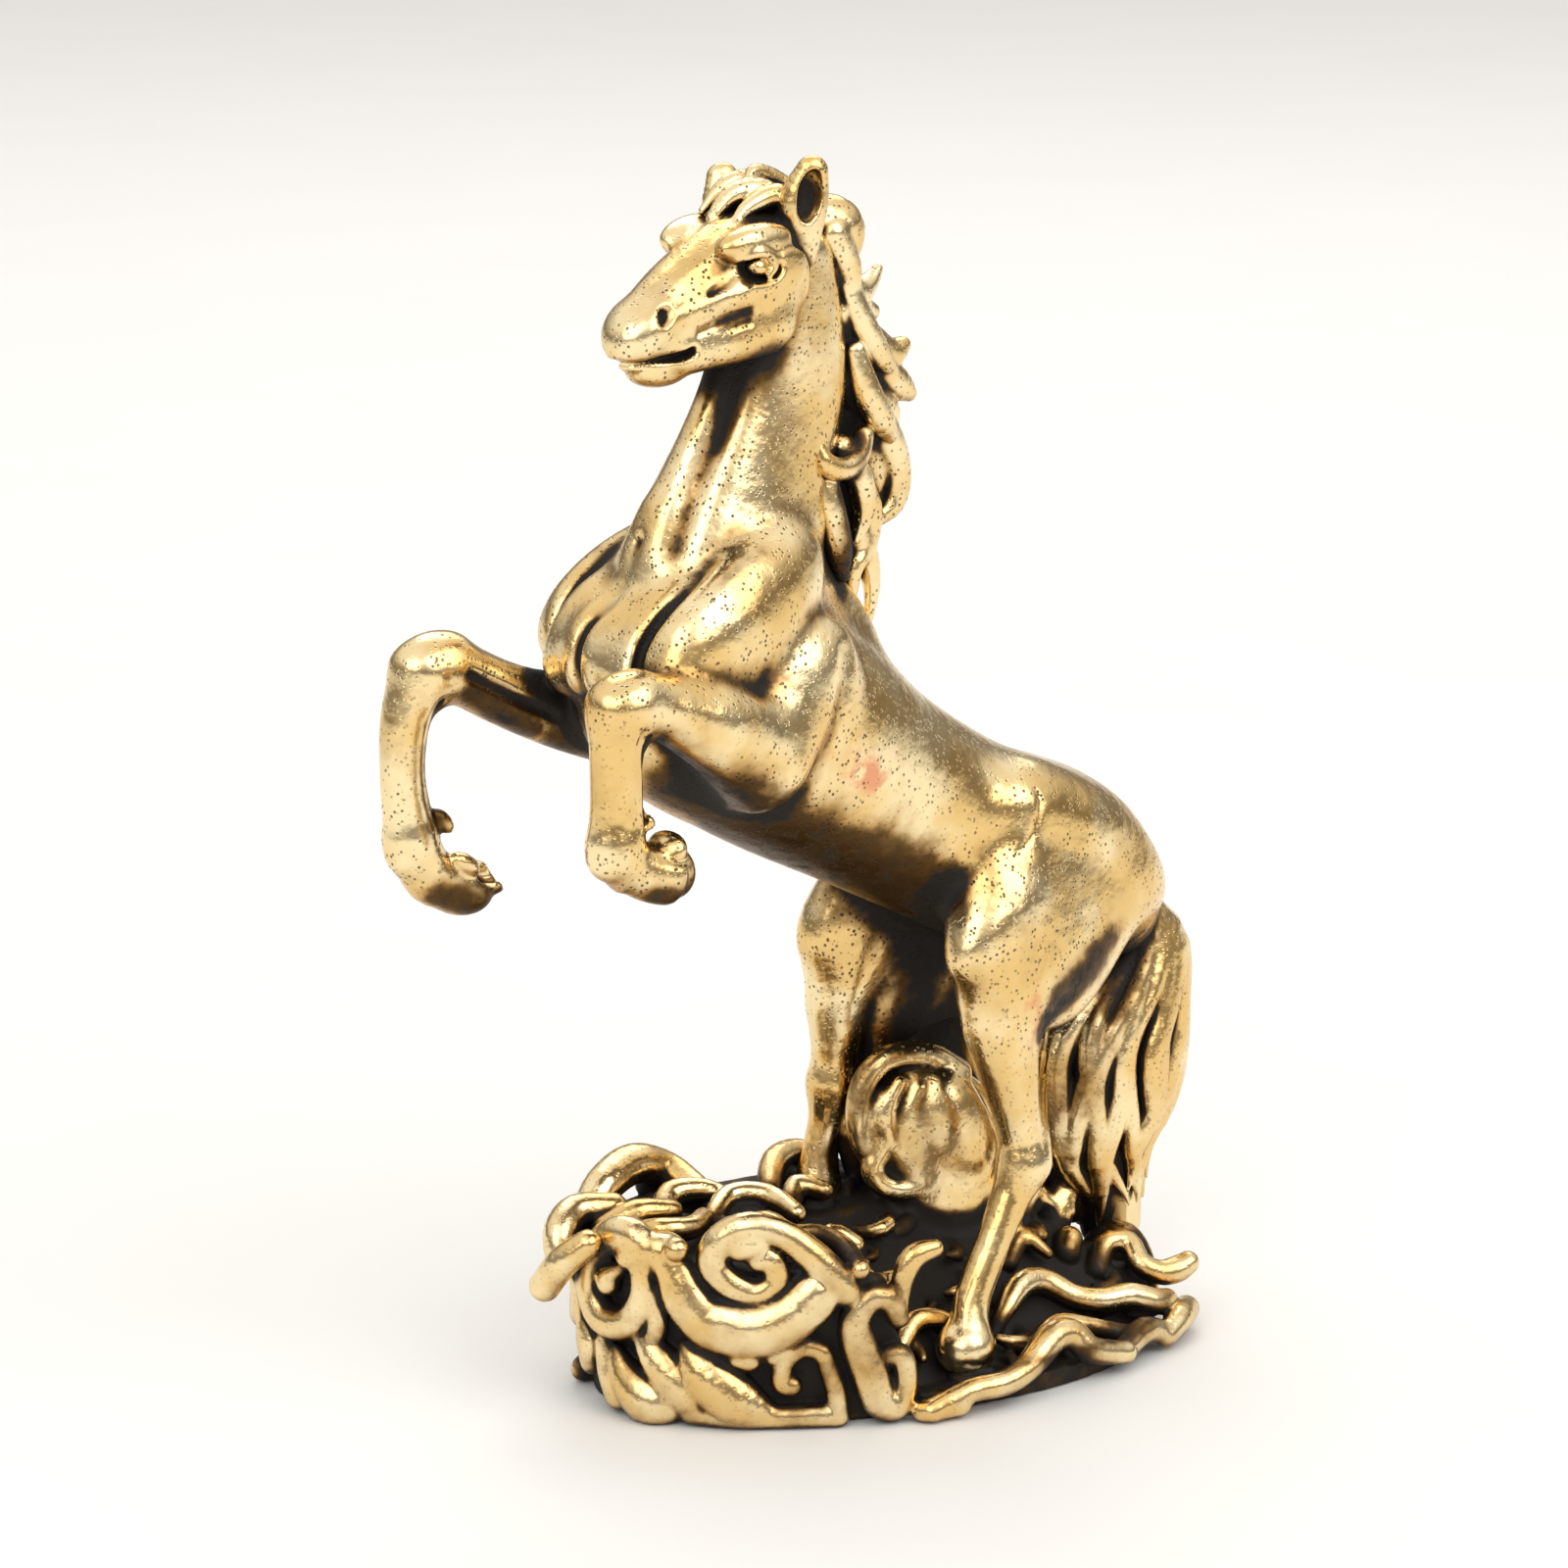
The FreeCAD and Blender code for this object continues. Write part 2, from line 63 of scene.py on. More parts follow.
# %% Shader expressions
class Socket:
    """A node output that can be used in Python arithmetic. Its node() adds any other node: the
    settings come first, then values or links, by input number (_0) or by input name."""

    def __init__(self, tree, link):
        self.tree, self.link = tree, link

    def node(self, kind, settings=None, out=0, **values):
        made = self.tree.nodes.new(kind)
        for key, value in (settings or {}).items():
            setattr(made, key, value)
        for key, value in values.items():
            socket = made.inputs[int(key[1:]) if key[0] == "_" else key.replace("_", " ")]
            if isinstance(value, Socket):
                self.tree.links.new(value.link, socket)
            else:
                socket.default_value = value
        return Socket(self.tree, made.outputs[out])

    def maths(self, operation, *values):
        return self.node("ShaderNodeMath", {"operation": operation},
                         **{f"_{i}": v for i, v in enumerate(values)})

    def __add__(self, other):
        return self.maths("ADD", self, other)

    def __sub__(self, other):
        return self.maths("SUBTRACT", self, other)

    def __mul__(self, other):
        return self.maths("MULTIPLY", self, other)

    def __truediv__(self, other):
        return self.maths("DIVIDE", self, other)

    def __radd__(self, other):
        return self.maths("ADD", other, self)

    def __rsub__(self, other):
        return self.maths("SUBTRACT", other, self)

    def __rmul__(self, other):
        return self.maths("MULTIPLY", other, self)

    def sine(self):
        return self.maths("SINE", self)

    def cosine(self):
        return self.maths("COSINE", self)

    def ramp(self, low, high):
        """0 below low, 1 above high, smooth between."""
        return self.node("ShaderNodeMapRange", {"interpolation_type": "SMOOTHSTEP"},
                         _0=self, _1=low, _2=high)

    def most(self, other):
        return self.maths("MAXIMUM", self, other)

    def least(self, other):
        return self.maths("MINIMUM", self, other)

    def blend(self, low, high):
        """The colour low where this is 0 and high where it is 1."""
        return self.node("ShaderNodeMix", {"data_type": "RGBA"}, 2, _0=self, _6=low, _7=high)


print("a socket can", ", ".join(n for n in vars(Socket) if not n.startswith("_")))


# %% [markdown]
# Every material starts as a tree with one shader in it. The helper hands back the three things a
# finish needs, so that no later cell has to look them up.

# %% A new material
def start(name):
    """A new material: its tree as a Socket to build from, its shader and itself."""
    material = bpy.data.materials.new(name)
    material.use_nodes = True
    tree = material.node_tree
    return Socket(tree, None), tree.nodes["Principled BSDF"], material


def tone(r, g, b):
    """A solid colour."""
    return (r, g, b, 1.0)


print("a mid grey is written", tone(0.5, 0.5, 0.5))

# %% [markdown]
# ### Polished brass with patina
#
# Clean brass is pale gold. Over it come a warm brown film, which is tarnish where the cloth
# reached less and painted shade on faces that look down, black in the recesses, fine dark pits
# from the casting sand, and a few spots where copper shows pink. The dirt could be painted by
# hand. Here each point of the metal carries numbers that say how hollow and how closed in it is
# and where shade is painted, and the finish reads those, so the dark always fits the shape.

# %% What the finish reads
maker, shader, brass = start("aged_brass")
place = maker.node("ShaderNodeTexCoord", out=3)


def measure(name):
    """A number carried by each point of the metal."""
    return maker.node("ShaderNodeAttribute", {"attribute_name": name}, 2)


def cloudy(scale, detail=3.0, rough=0.55, salt=0.0):
    """Soft noise of `scale` patches to the metre; each salt gives other patches."""
    moved = maker.node("ShaderNodeVectorMath", {"operation": "ADD"},
                       _0=place, _1=(salt, salt, salt))
    return maker.node("ShaderNodeTexNoise", _2=scale, _3=detail, _4=rough, Vector=moved)


MEASURES = ("fine", "broad", "near", "far", "lift", "soot", "copper")
fine, broad, near, far, lift, soot, copper = (measure(name) for name in MEASURES)
print("the brass reads", ", ".join(MEASURES))

# %% [markdown]
# The patina has three depths: a brown film, umber in the broad hollows, and black in the tight
# ones. All three are steps on one sum of the measures, roughened by noise so that no edge of the
# dark looks drawn. Faces that look down are given painted shade, darkest in the film.

# %% Film, umber and black, with painted shade
OPEN_NEAR, OPEN_FAR = 0.66, 0.56  # what `near` and `far` read where the skin is hardly closed in
patchy, grainy = cloudy(220.0, 4.0, 0.62) - 0.5, cloudy(1100.0, 3.0, 0.6, 0.3) - 0.5
closed = (fine * 1.6 + broad * 0.9 + (near - OPEN_NEAR) * 1.4 + (far - OPEN_FAR) * 0.9).most(-0.25)
# painted shade: the further down a face looks, the darker its film, umber and black
under = (lift * -1.0).ramp(0.15, 0.95)
black = (closed + soot * 1.0 + patchy * 0.9 + grainy * 0.7 + under * 0.10).ramp(0.42, 0.74)
umber = (closed * 1.1 + soot * 1.5 + patchy * 1.2 + grainy * 0.8 + under * 0.35).ramp(0.22, 0.80)
film_and_painted_shade = (closed + soot * 1.2 + patchy * 2.0 + grainy * 0.5 + under * 0.75).ramp(-0.22, 0.70)
print("patina steps made from", len(brass.node_tree.nodes), "nodes so far")

# %% [markdown]
# Fine sand leaves pinholes in a casting, and polish never reaches into them. They could be holes
# in the mesh, but at a tenth of a millimetre a pattern of cells does the same. Two noises choose
# where the pits gather, and the base has fewer of them than the horse.

# %% Pits
PITS_PER_METRE = 3600.0
pit_seed = maker.node("ShaderNodeTexVoronoi", {"feature": "F1"}, _2=PITS_PER_METRE, Vector=place)
pit_zone = cloudy(160.0, 3.0, 0.6, 0.7).ramp(0.30, 0.52)
pit_pick = cloudy(1500.0, 2.0, 0.5, 1.3).ramp(0.40, 0.52)
above = maker.node("ShaderNodeSeparateXYZ", out=2, Vector=place).ramp(0.008, 0.022)
pits = (1.0 - pit_seed.ramp(0.12, 0.36)) * pit_zone * pit_pick * (above * 0.8 + 0.2)
print("pits are", round(1000 / PITS_PER_METRE, 2), "mm apart where they are closest")

# %% [markdown]
# The colours are laid in the order in which the metal got them: brass in two shades, copper where
# it shows, then film, umber and black, which also carry the painted shade of undersides and
# smudges. The dark is also rough and hardly metallic, as an oxide is, and a shallow bump
# gives the polished faces the slight waves of a cast surface.

# %% Colour, gloss and dents
PALE_GOLD, RED_GOLD = tone(0.94, 0.77, 0.45), tone(0.80, 0.55, 0.22)
# film brown, umber and black colour both the patina and the painted shade of undersides and smudges
COPPER_PINK, FILM_AND_SHADE_BROWN = tone(0.72, 0.25, 0.13), tone(0.40, 0.22, 0.065)
UMBER_BROWN, OXIDE_AND_SHADE_BLACK = tone(0.095, 0.052, 0.018), tone(0.009, 0.006, 0.0035)
dark = black.most(pits * 0.9)
clean = cloudy(260.0, 3.0, 0.5, 2.1).ramp(0.35, 0.65).blend(PALE_GOLD, RED_GOLD)
spots = copper * cloudy(700.0, 3.0, 0.6, 2.7).ramp(0.44, 0.60) * 0.8
rosy = spots.blend(clean, COPPER_PINK)
warm = film_and_painted_shade.blend(rosy, FILM_AND_SHADE_BROWN)
deep = umber.blend(warm, UMBER_BROWN)
colour = dark.blend(deep, OXIDE_AND_SHADE_BLACK)
rough = 0.22 + film_and_painted_shade * 0.08 + umber * 0.08 + dark * 0.3 + (cloudy(500.0, 3.0, 0.6, 3.1) - 0.5) * 0.14
dents = (cloudy(380.0, 2.0, 0.5, 4.3) * 1.2 + cloudy(1100.0, 2.0, 0.5, 5.1) * 0.45
         + cloudy(3200.0, 2.0, 0.5, 6.1) * 0.12 - pits * 0.4)
bumps = maker.node("ShaderNodeBump", _0=0.6, _1=0.00016, Height=dents)
for name, value in (("Base Color", colour), ("Roughness", rough),
                    ("Metallic", 1.0 - dark * 0.7), ("Normal", bumps)):
    brass.node_tree.links.new(value.link, shader.inputs[name])
print("brass finish:", len(brass.node_tree.nodes), "nodes")

# %% [markdown]
# ## Digital clay
#
# The horse is one flowing surface, and its muscles melt into each other. That could be a
# subdivision cage pushed about by hand, or metaballs, or a sculpted grid. A grid of signed
# distances is chosen: each voxel knows how far it is from the surface, so masses can be pressed
# together with a soft seam, grooves can be cut with a soft lip, and any two shapes join cleanly.

# %% Soft seams
FAR = 6.0  # mm, what an empty voxel holds
TINY = 1e-9  # keeps a division away from zero


def soft_min(a, b, blend):
    """The smaller of two distances, with a seam rounded over `blend` mm."""
    near = np.maximum(blend - np.abs(a - b), 0) / blend
    return np.minimum(a, b) - near * near * (blend * 0.25)


print("two surfaces that meet with a blend of 0.6 mm gain", -soft_min(0.0, 0.0, 0.6), "mm")


# %% [markdown]
# A block of clay adds and carves shapes only in the window of voxels that each shape can reach,
# which keeps it quick. It also remembers which cast section owns each voxel, so one flowing body
# can be cut into separate castings later, where a founder would cut it.

# %% Clay block
class Clay:
    """A block of voxels that holds the distance to the surface, negative inside, and for each
    voxel the number of the cast section that owns it."""

    def __init__(self, low, high, step):
        self.low = np.array(low, np.float32)
        self.step = step
        self.size = np.ceil((np.array(high) - low) / step).astype(int) + 1
        self.depth = np.full(self.size, FAR, np.float32)
        self.nearest = np.full(self.size, FAR, np.float32)
        self.owner = np.zeros(self.size, np.uint8)
        self.raised = None

    def window(self, low, high):
        first = np.clip(np.floor((low - self.low) / self.step).astype(int), 0, self.size)
        last = np.clip(np.ceil((high - self.low) / self.step).astype(int) + 1, 0, self.size)
        part = tuple(slice(a, b) for a, b in zip(first, last))
        axes = [self.low[i] + self.step * np.arange(first[i], last[i], dtype=np.float32)
                for i in range(3)]
        return part, axes[0][:, None, None], axes[1][None, :, None], axes[2][None, None, :]

    def add(self, shape, blend=0.6, owner=1):
        reach = blend + 3 * self.step
        part, x, y, z = self.window(shape.low - reach, shape.high + reach)
        new = shape.distance(x, y, z, reach)
        if not new.size:
            return
        self.depth[part] = soft_min(self.depth[part], new, blend)
        if self.raised is not None:
            self.raised[part] = np.minimum(self.raised[part], new)
        closer = new < self.nearest[part]
        self.nearest[part] = np.where(closer, new, self.nearest[part])
        self.owner[part] = np.where(closer, owner, self.owner[part])

    def carve(self, shape, blend=0.3):
        reach = blend + 3 * self.step
        part, x, y, z = self.window(shape.low - reach, shape.high + reach)
        new = shape.distance(x, y, z, reach)
        if new.size:
            self.depth[part] = -soft_min(-self.depth[part], new, blend)

    def volume(self):
        """Cubic millimetres of metal in the block."""
        return round(float((self.depth < 0).sum()) * self.step ** 3)


print("a block 10 mm each way at 0.16 mm has", Clay((0, 0, 0), (10, 10, 10), 0.16).size, "voxels")


# %% [markdown]
# ## The sculptor's shapes
#
# Three shapes are enough: an egg for a muscle, a strand for a bone, a groove or a lock of hair,
# and a limb, which runs through the same oval stations that the CAD lofts use. Each has a low
# and a high corner and a distance. `reach` says how far from its surface the distance matters.

# %% Smooth runs
def through(rows, steps):
    """A smooth run of rows through the given ones, `steps` to each span (Catmull-Rom)."""
    rows = np.array(rows, float)
    padded = np.vstack([2 * rows[0] - rows[1], rows, 2 * rows[-1] - rows[-2]])
    run = []
    for a, b, c, d in zip(padded, padded[1:], padded[2:], padded[3:]):
        for t in np.arange(steps) / steps:
            run.append(0.5 * (2 * b + (c - a) * t + (2 * a - 5 * b + 4 * c - d) * t * t
                              + (3 * b - a - 3 * c + d) * t ** 3))
    return np.array(run + [rows[-1]])


print("three marks become", len(through([(0, 0), (1, 1), (2, 0)], 4)), "points in steps of four")


# %% Egg
class Egg:
    """An ellipsoid from start to end, `deep` across it and `wide` towards `side`."""

    def __init__(self, start, end, deep, wide, side=(0, 1, 0)):
        start, end = np.array(start, float), np.array(end, float)
        along = end - start
        length = np.linalg.norm(along)
        along /= length
        side = np.array(side, float)
        side -= along * (side @ along)
        side /= np.linalg.norm(side)
        self.axes = np.array([along, np.cross(side, along), side])
        self.radii = np.array([length / 2, deep, wide])
        self.centre = (start + end) / 2
        spread = np.sqrt((self.axes ** 2).T @ self.radii ** 2)
        self.low, self.high = self.centre - spread, self.centre + spread

    def distance(self, x, y, z, reach):
        dx, dy, dz = (g - np.float32(c) for g, c in zip((x, y, z), self.centre))
        inner = outer = 0
        for axis, radius in zip(self.axes.astype(np.float32), self.radii.astype(np.float32)):
            part = ((axis[0] * dx + axis[1] * dy + axis[2] * dz) / radius) ** 2
            inner, outer = inner + part, outer + part / radius ** 2
        inner = np.sqrt(inner)
        return inner * (inner - 1) / np.sqrt(np.maximum(outer, TINY))


print("a tilted egg reaches up to", Egg((0, 0, 0), (3, 0, 4), 1, 1).high.round(1), "mm")


# %% [markdown]
# A strand is a chain of short cones. Only the voxels near each cone are measured. A strand that
# follows many points, such as a lock of hair, would take minutes otherwise.

# %% Strand
def near_part(x, y, z, low, high):
    """The slices of three grid axes that lie between low and high."""
    return tuple(slice(np.searchsorted(g.ravel(), a), np.searchsorted(g.ravel(), b))
                 for g, a, b in zip((x, y, z), low, high))


class Strand:
    """A round cord through points (x, y, z, radius), pressed flat along `flat` if it's given:
    a direction and how many times thinner the cord is that way."""

    def __init__(self, points, steps=4, flat=None, squash=1.0):
        self.run = through(points, steps) if steps else np.array(points, float)
        self.flat = None if flat is None else np.array(flat, float) / np.linalg.norm(flat)
        self.squash = squash
        reach = self.run[:, 3:4]
        self.low = (self.run[:, :3] - reach).min(axis=0)
        self.high = (self.run[:, :3] + reach).max(axis=0)

    def distance(self, x, y, z, reach):
        out = np.full(np.broadcast_shapes(x.shape, y.shape, z.shape), FAR, np.float32)
        for a, b in zip(self.run[:-1], self.run[1:]):
            edge = max(a[3], b[3]) + reach
            part = near_part(x, y, z, np.minimum(a, b)[:3] - edge, np.maximum(a, b)[:3] + edge)
            gx, gy, gz = x[part[0]], y[:, part[1]], z[:, :, part[2]]
            along = (b - a)[:3].astype(np.float32)
            span = max(float(along @ along), TINY)
            dx, dy, dz = (g - np.float32(c) for g, c in zip((gx, gy, gz), a))
            t = np.clip((dx * along[0] + dy * along[1] + dz * along[2]) / span, 0, 1)
            dx, dy, dz = dx - t * along[0], dy - t * along[1], dz - t * along[2]
            square = dx * dx + dy * dy + dz * dz
            if self.flat is not None:
                f = self.flat.astype(np.float32)
                square = square + (self.squash ** 2 - 1) * (dx * f[0] + dy * f[1] + dz * f[2]) ** 2
            new = np.sqrt(square) - (np.float32(a[3]) + t * np.float32(b[3] - a[3]))
            out[part] = np.minimum(out[part], new)
        return out


print("a strand's run:", Strand([(0, 0, 0, 1), (4, 0, 1, 2)]).run.shape, "rows and columns")


# %% [markdown]
# A limb fills the space between two neighbouring ovals by mixing their places, sizes and angles.
# Its two ends are rounded off by `END_DEPTH` of the last oval, so that no flat cut shows.

# %% Limb
END_DEPTH = 0.8


class Limb:
    """A body through oval stations (x, z, lean, depth, width[, y]), as in the CAD lofts: lean is
    the run's angle from +Z towards +X, depth is in the plane of symmetry and width is across."""

    def __init__(self, stations, side=0.0, steps=5):
        rows = np.array([s if len(s) == 6 else (*s, side) for s in stations], float)
        rows[:, 2] = np.unwrap(rows[:, 2], period=360)
        self.run = through(rows, steps)
        x, z, _, depth, width, y = self.run.T
        reach = np.maximum(depth, width)
        self.low = np.array([(x - reach).min(), (y - width).min(), (z - reach).min()])
        self.high = np.array([(x + reach).max(), (y + width).max(), (z + reach).max()])

    def distance(self, x, y, z, reach):
        out = np.full(np.broadcast_shapes(x.shape, y.shape, z.shape), FAR, np.float32)
        last = len(self.run) - 2
        for number, (a, b) in enumerate(zip(self.run[:-1], self.run[1:])):
            xs, zs, lean, deep, wide, ys = (np.array(v, np.float32) for v in zip(a, b))
            angle = np.radians(lean)
            edge = float(deep.max()) + reach
            across = float(wide.max()) + reach
            low = (xs.min() - edge, ys.min() - across, zs.min() - edge)
            high = (xs.max() + edge, ys.max() + across, zs.max() + edge)
            part = near_part(x, y, z, low, high)
            gx, gy, gz = x[part[0]], y[:, part[1]], z[:, :, part[2]]
            if not (gx.size and gy.size and gz.size):
                continue
            s0, s1 = ((gx - xs[i]) * np.sin(angle[i]) + (gz - zs[i]) * np.cos(angle[i])
                      for i in (0, 1))
            within = (s0 >= 0) & (s1 < 0)
            t = np.where(within, s0 / np.where(within, s0 - s1, 1), s0 > 0)
            past = np.zeros_like(t)
            if number == 0:
                past = np.maximum(-s0, 0) / (END_DEPTH * min(deep[0], wide[0]))
                within = within | (s0 < 0)
            if number == last:
                past = past + np.maximum(s1, 0) / (END_DEPTH * min(deep[1], wide[1]))
                within = within | (s1 >= 0)
            turn = angle[0] + t * (angle[1] - angle[0])
            hd, hw = deep[0] + t * (deep[1] - deep[0]), wide[0] + t * (wide[1] - wide[0])
            u = ((gx - xs[0] - t * (xs[1] - xs[0])) * np.cos(turn)
                 - (gz - zs[0] - t * (zs[1] - zs[0])) * np.sin(turn)) / hd
            v = (gy - ys[0] - t * (ys[1] - ys[0])) / hw
            inner = np.sqrt(u * u + v * v + past * past)
            outer = np.sqrt(np.maximum((u / hd) ** 2 + (v / hw) ** 2 + (past / hw) ** 2, TINY))
            new = np.where(within, inner * (inner - 1) / outer, FAR)
            out[part] = np.minimum(out[part], new)
        return out


print("a limb through two ovals has", len(Limb([(0, 0, 0, 1, 1), (0, 4, 0, 2, 1)]).run), "ovals")


# %% [markdown]
# ## Wires laid by Geometry Nodes
#
# A lock of hair, a band of cloud and a strand of the tail all follow a path. They could be typed
# in as hundreds of points, but a node tree does it better: it turns a few marks into a smooth
# curve and wraps a tube round it that swells and tapers. The tubes are then pressed into the clay
# as a sculptor presses in a wire, so their seams come out soft, as in a casting.

# %% Node trees as modifiers
def new_tree(name, **inputs):
    """A Geometry Nodes tree with a mesh input and named number inputs: a Socket to build from,
    and the inputs by name."""
    tree = bpy.data.node_groups.new(name, "GeometryNodeTree")
    tree.interface.new_socket("Geometry", in_out="INPUT", socket_type="NodeSocketGeometry")
    tree.interface.new_socket("Geometry", in_out="OUTPUT", socket_type="NodeSocketGeometry")
    for label, value in inputs.items():
        kind = "NodeSocketInt" if isinstance(value, int) else "NodeSocketFloat"
        tree.interface.new_socket(label, in_out="INPUT", socket_type=kind).default_value = value
    entry = tree.nodes.new("NodeGroupInput")
    return Socket(tree, None), {o.name: Socket(tree, o) for o in entry.outputs if o.name}


def close_tree(build, geometry):
    """Ends a tree: instances become real and the metal is set."""
    real = build.node("GeometryNodeRealizeInstances", Geometry=geometry)
    metal = build.node("GeometryNodeSetMaterial", Geometry=real, Material=brass)
    leave = build.tree.nodes.new("NodeGroupOutput")
    build.tree.links.new(metal.link, leave.inputs[0])


def run_tree(tree, points, edges=(), faces=(), measures=None, **inputs):
    """Puts tree on a mesh of marks and gives back the points and the measures of what it makes."""
    marks = bpy.data.meshes.new("marks")
    marks.from_pydata([tuple(p) for p in points], edges, faces)
    for label, values in (measures or {}).items():
        marks.attributes.new(label, "FLOAT", "POINT").data.foreach_set("value", values)
    holder = bpy.data.objects.new("marks", marks)
    bpy.context.scene.collection.objects.link(holder)
    modifier = holder.modifiers.new("wires", "NODES")
    modifier.node_group = tree
    for item in tree.interface.items_tree:
        if item.in_out == "INPUT" and item.name in inputs:
            modifier[item.identifier] = inputs[item.name]
    ready = holder.evaluated_get(bpy.context.evaluated_depsgraph_get())
    made = bpy.data.meshes.new_from_object(ready)
    place = np.empty(len(made.vertices) * 3, np.float32)
    made.vertices.foreach_get("co", place)
    number = np.zeros(len(made.vertices), np.float32)
    if "number" in made.attributes:
        made.attributes["number"].data.foreach_get("value", number)
    bpy.data.objects.remove(holder)
    bpy.data.meshes.remove(made)
    bpy.data.meshes.remove(marks)
    return place.reshape(-1, 3).astype(float), number


print("trees so far:", len(bpy.data.node_groups))


# %% [markdown]
# A tube with six sides is enough to say where a wire runs and how thick it is. Each ring of six
# points is read back as its centre and its mean radius.

# %% Tubes and their rings
SIDES = 6


def smooth_curve(build, geometry):
    """A smooth curve through marks that are joined by edges."""
    curve = build.node("GeometryNodeMeshToCurve", Mesh=geometry)
    return build.node("GeometryNodeCurveSplineType", {"spline_type": "CATMULL_ROM"}, Curve=curve)


def tube_along(build, curve, radius):
    """A round tube along a curve."""
    ring = build.node("GeometryNodeCurvePrimitiveCircle", {"mode": "RADIUS"},
                      Resolution=SIDES, Radius=1.0)
    return build.node("GeometryNodeCurveToMesh", Curve=curve, Profile_Curve=ring, Scale=radius)


def mark_value(build, name):
    """A number stored on the marks."""
    return build.node("GeometryNodeInputNamedAttribute", {"data_type": "FLOAT"}, Name=name)


def ring_run(ring):
    """Rows of (x, y, z, radius), one for each ring of points."""
    centre = ring.mean(axis=1)
    radius = np.linalg.norm(ring - centre[:, None], axis=2).mean(axis=1)
    return np.column_stack([centre, radius])


def rings(place, number):
    """Tubes read back as runs of (x, y, z, radius), one run for each number."""
    run = ring_run(place.reshape(-1, SIDES, 3))
    which = np.rint(number.reshape(-1, SIDES)[:, 0]).astype(int)
    return [run[which == n] for n in range(which.max() + 1)]


print("rings have", SIDES, "sides")

# %% [markdown]
# The tree for locks and bands joins each path's marks with a smooth curve and wraps a tube round
# it. Its inputs are how finely the curve is divided and how thick the whole set comes out.

# %% A tube along marks
build, given = new_tree("laid_wire", Smoothness=4, Thickness=1.0)
curve = build.node("GeometryNodeSetSplineResolution",
                   Geometry=smooth_curve(build, given["Geometry"]), Resolution=given["Smoothness"])
tube = tube_along(build, curve, mark_value(build, "thick") * given["Thickness"])
close_tree(build, tube)
wire_tree = build.tree


def lay(paths, thickness=1.0):
    """Smooth runs through each path of (x, y, z, radius)."""
    edges, numbers, total = [], [], 0
    for number, path in enumerate(paths):
        edges += [(total + i, total + i + 1) for i in range(len(path) - 1)]
        numbers += [number] * len(path)
        total += len(path)
    marks = np.array([p for path in paths for p in path], float)
    return rings(*run_tree(wire_tree, marks[:, :3], edges, (),
                           {"thick": marks[:, 3], "number": numbers}, Thickness=thickness))


print("the wire tree has", len(wire_tree.nodes), "nodes")


# %% [markdown]
# ## From clay to metal skin
#
# Blender shows meshes, so the grid must become one. Marching cubes would leave slivers. Surface
# nets put one point in each cell that the surface crosses and join neighbours with four-sided
# faces, which shade evenly. Where two cast sections meet inside the clay, both get the same wall
# of points, so each section is closed and there is no gap at the seam.

# %% Reading the clay between voxels
NUDGE = 0.75  # voxels, how far to each side the slope is felt


def sample(field, low, step, points):
    """The field at points, mixed from the eight voxels round each."""
    at = (points - low) / step
    base = np.clip(np.floor(at).astype(int), 0, np.array(field.shape) - 2)
    share = np.clip(at - base, 0, 1)
    total = 0
    for corner in np.ndindex(2, 2, 2):
        weight = np.prod(np.where(corner, share, 1 - share), axis=1)
        i, j, k = (base + corner).T
        total = total + weight * field[i, j, k]
    return total


def slope(clay, points):
    """Unit vectors away from the clay at points."""
    out = np.empty_like(points)
    for axis in range(3):
        nudge = np.zeros(3)
        nudge[axis] = clay.step * NUDGE
        out[:, axis] = (sample(clay.depth, clay.low, clay.step, points + nudge)
                        - sample(clay.depth, clay.low, clay.step, points - nudge))
    return out / np.maximum(np.linalg.norm(out, axis=1, keepdims=True), TINY)


ball = Clay((-1.5, -1.5, -1.5), (1.5, 1.5, 1.5), 0.1)
ball.add(Egg((-1, 0, 0), (1, 0, 0), 1, 1))
print("a test ball slopes", slope(ball, np.array([[0.0, 1.0, 0.0]])).round(2), "at its +Y side")


# %% [markdown]
# A grid edge whose two ends have different owners is crossed by a wall. The four cells round it
# each give one corner of a face. Walls between two sections inside the metal get hardly any
# weight (`SEAM_WEIGHT`), so where they meet the outside, the point stays on the outer skin.

# %% Skinning
SEAM_WEIGHT = 1e-3
LARGEST_MOVE = 0.4  # voxels, when a point is pulled onto the true surface


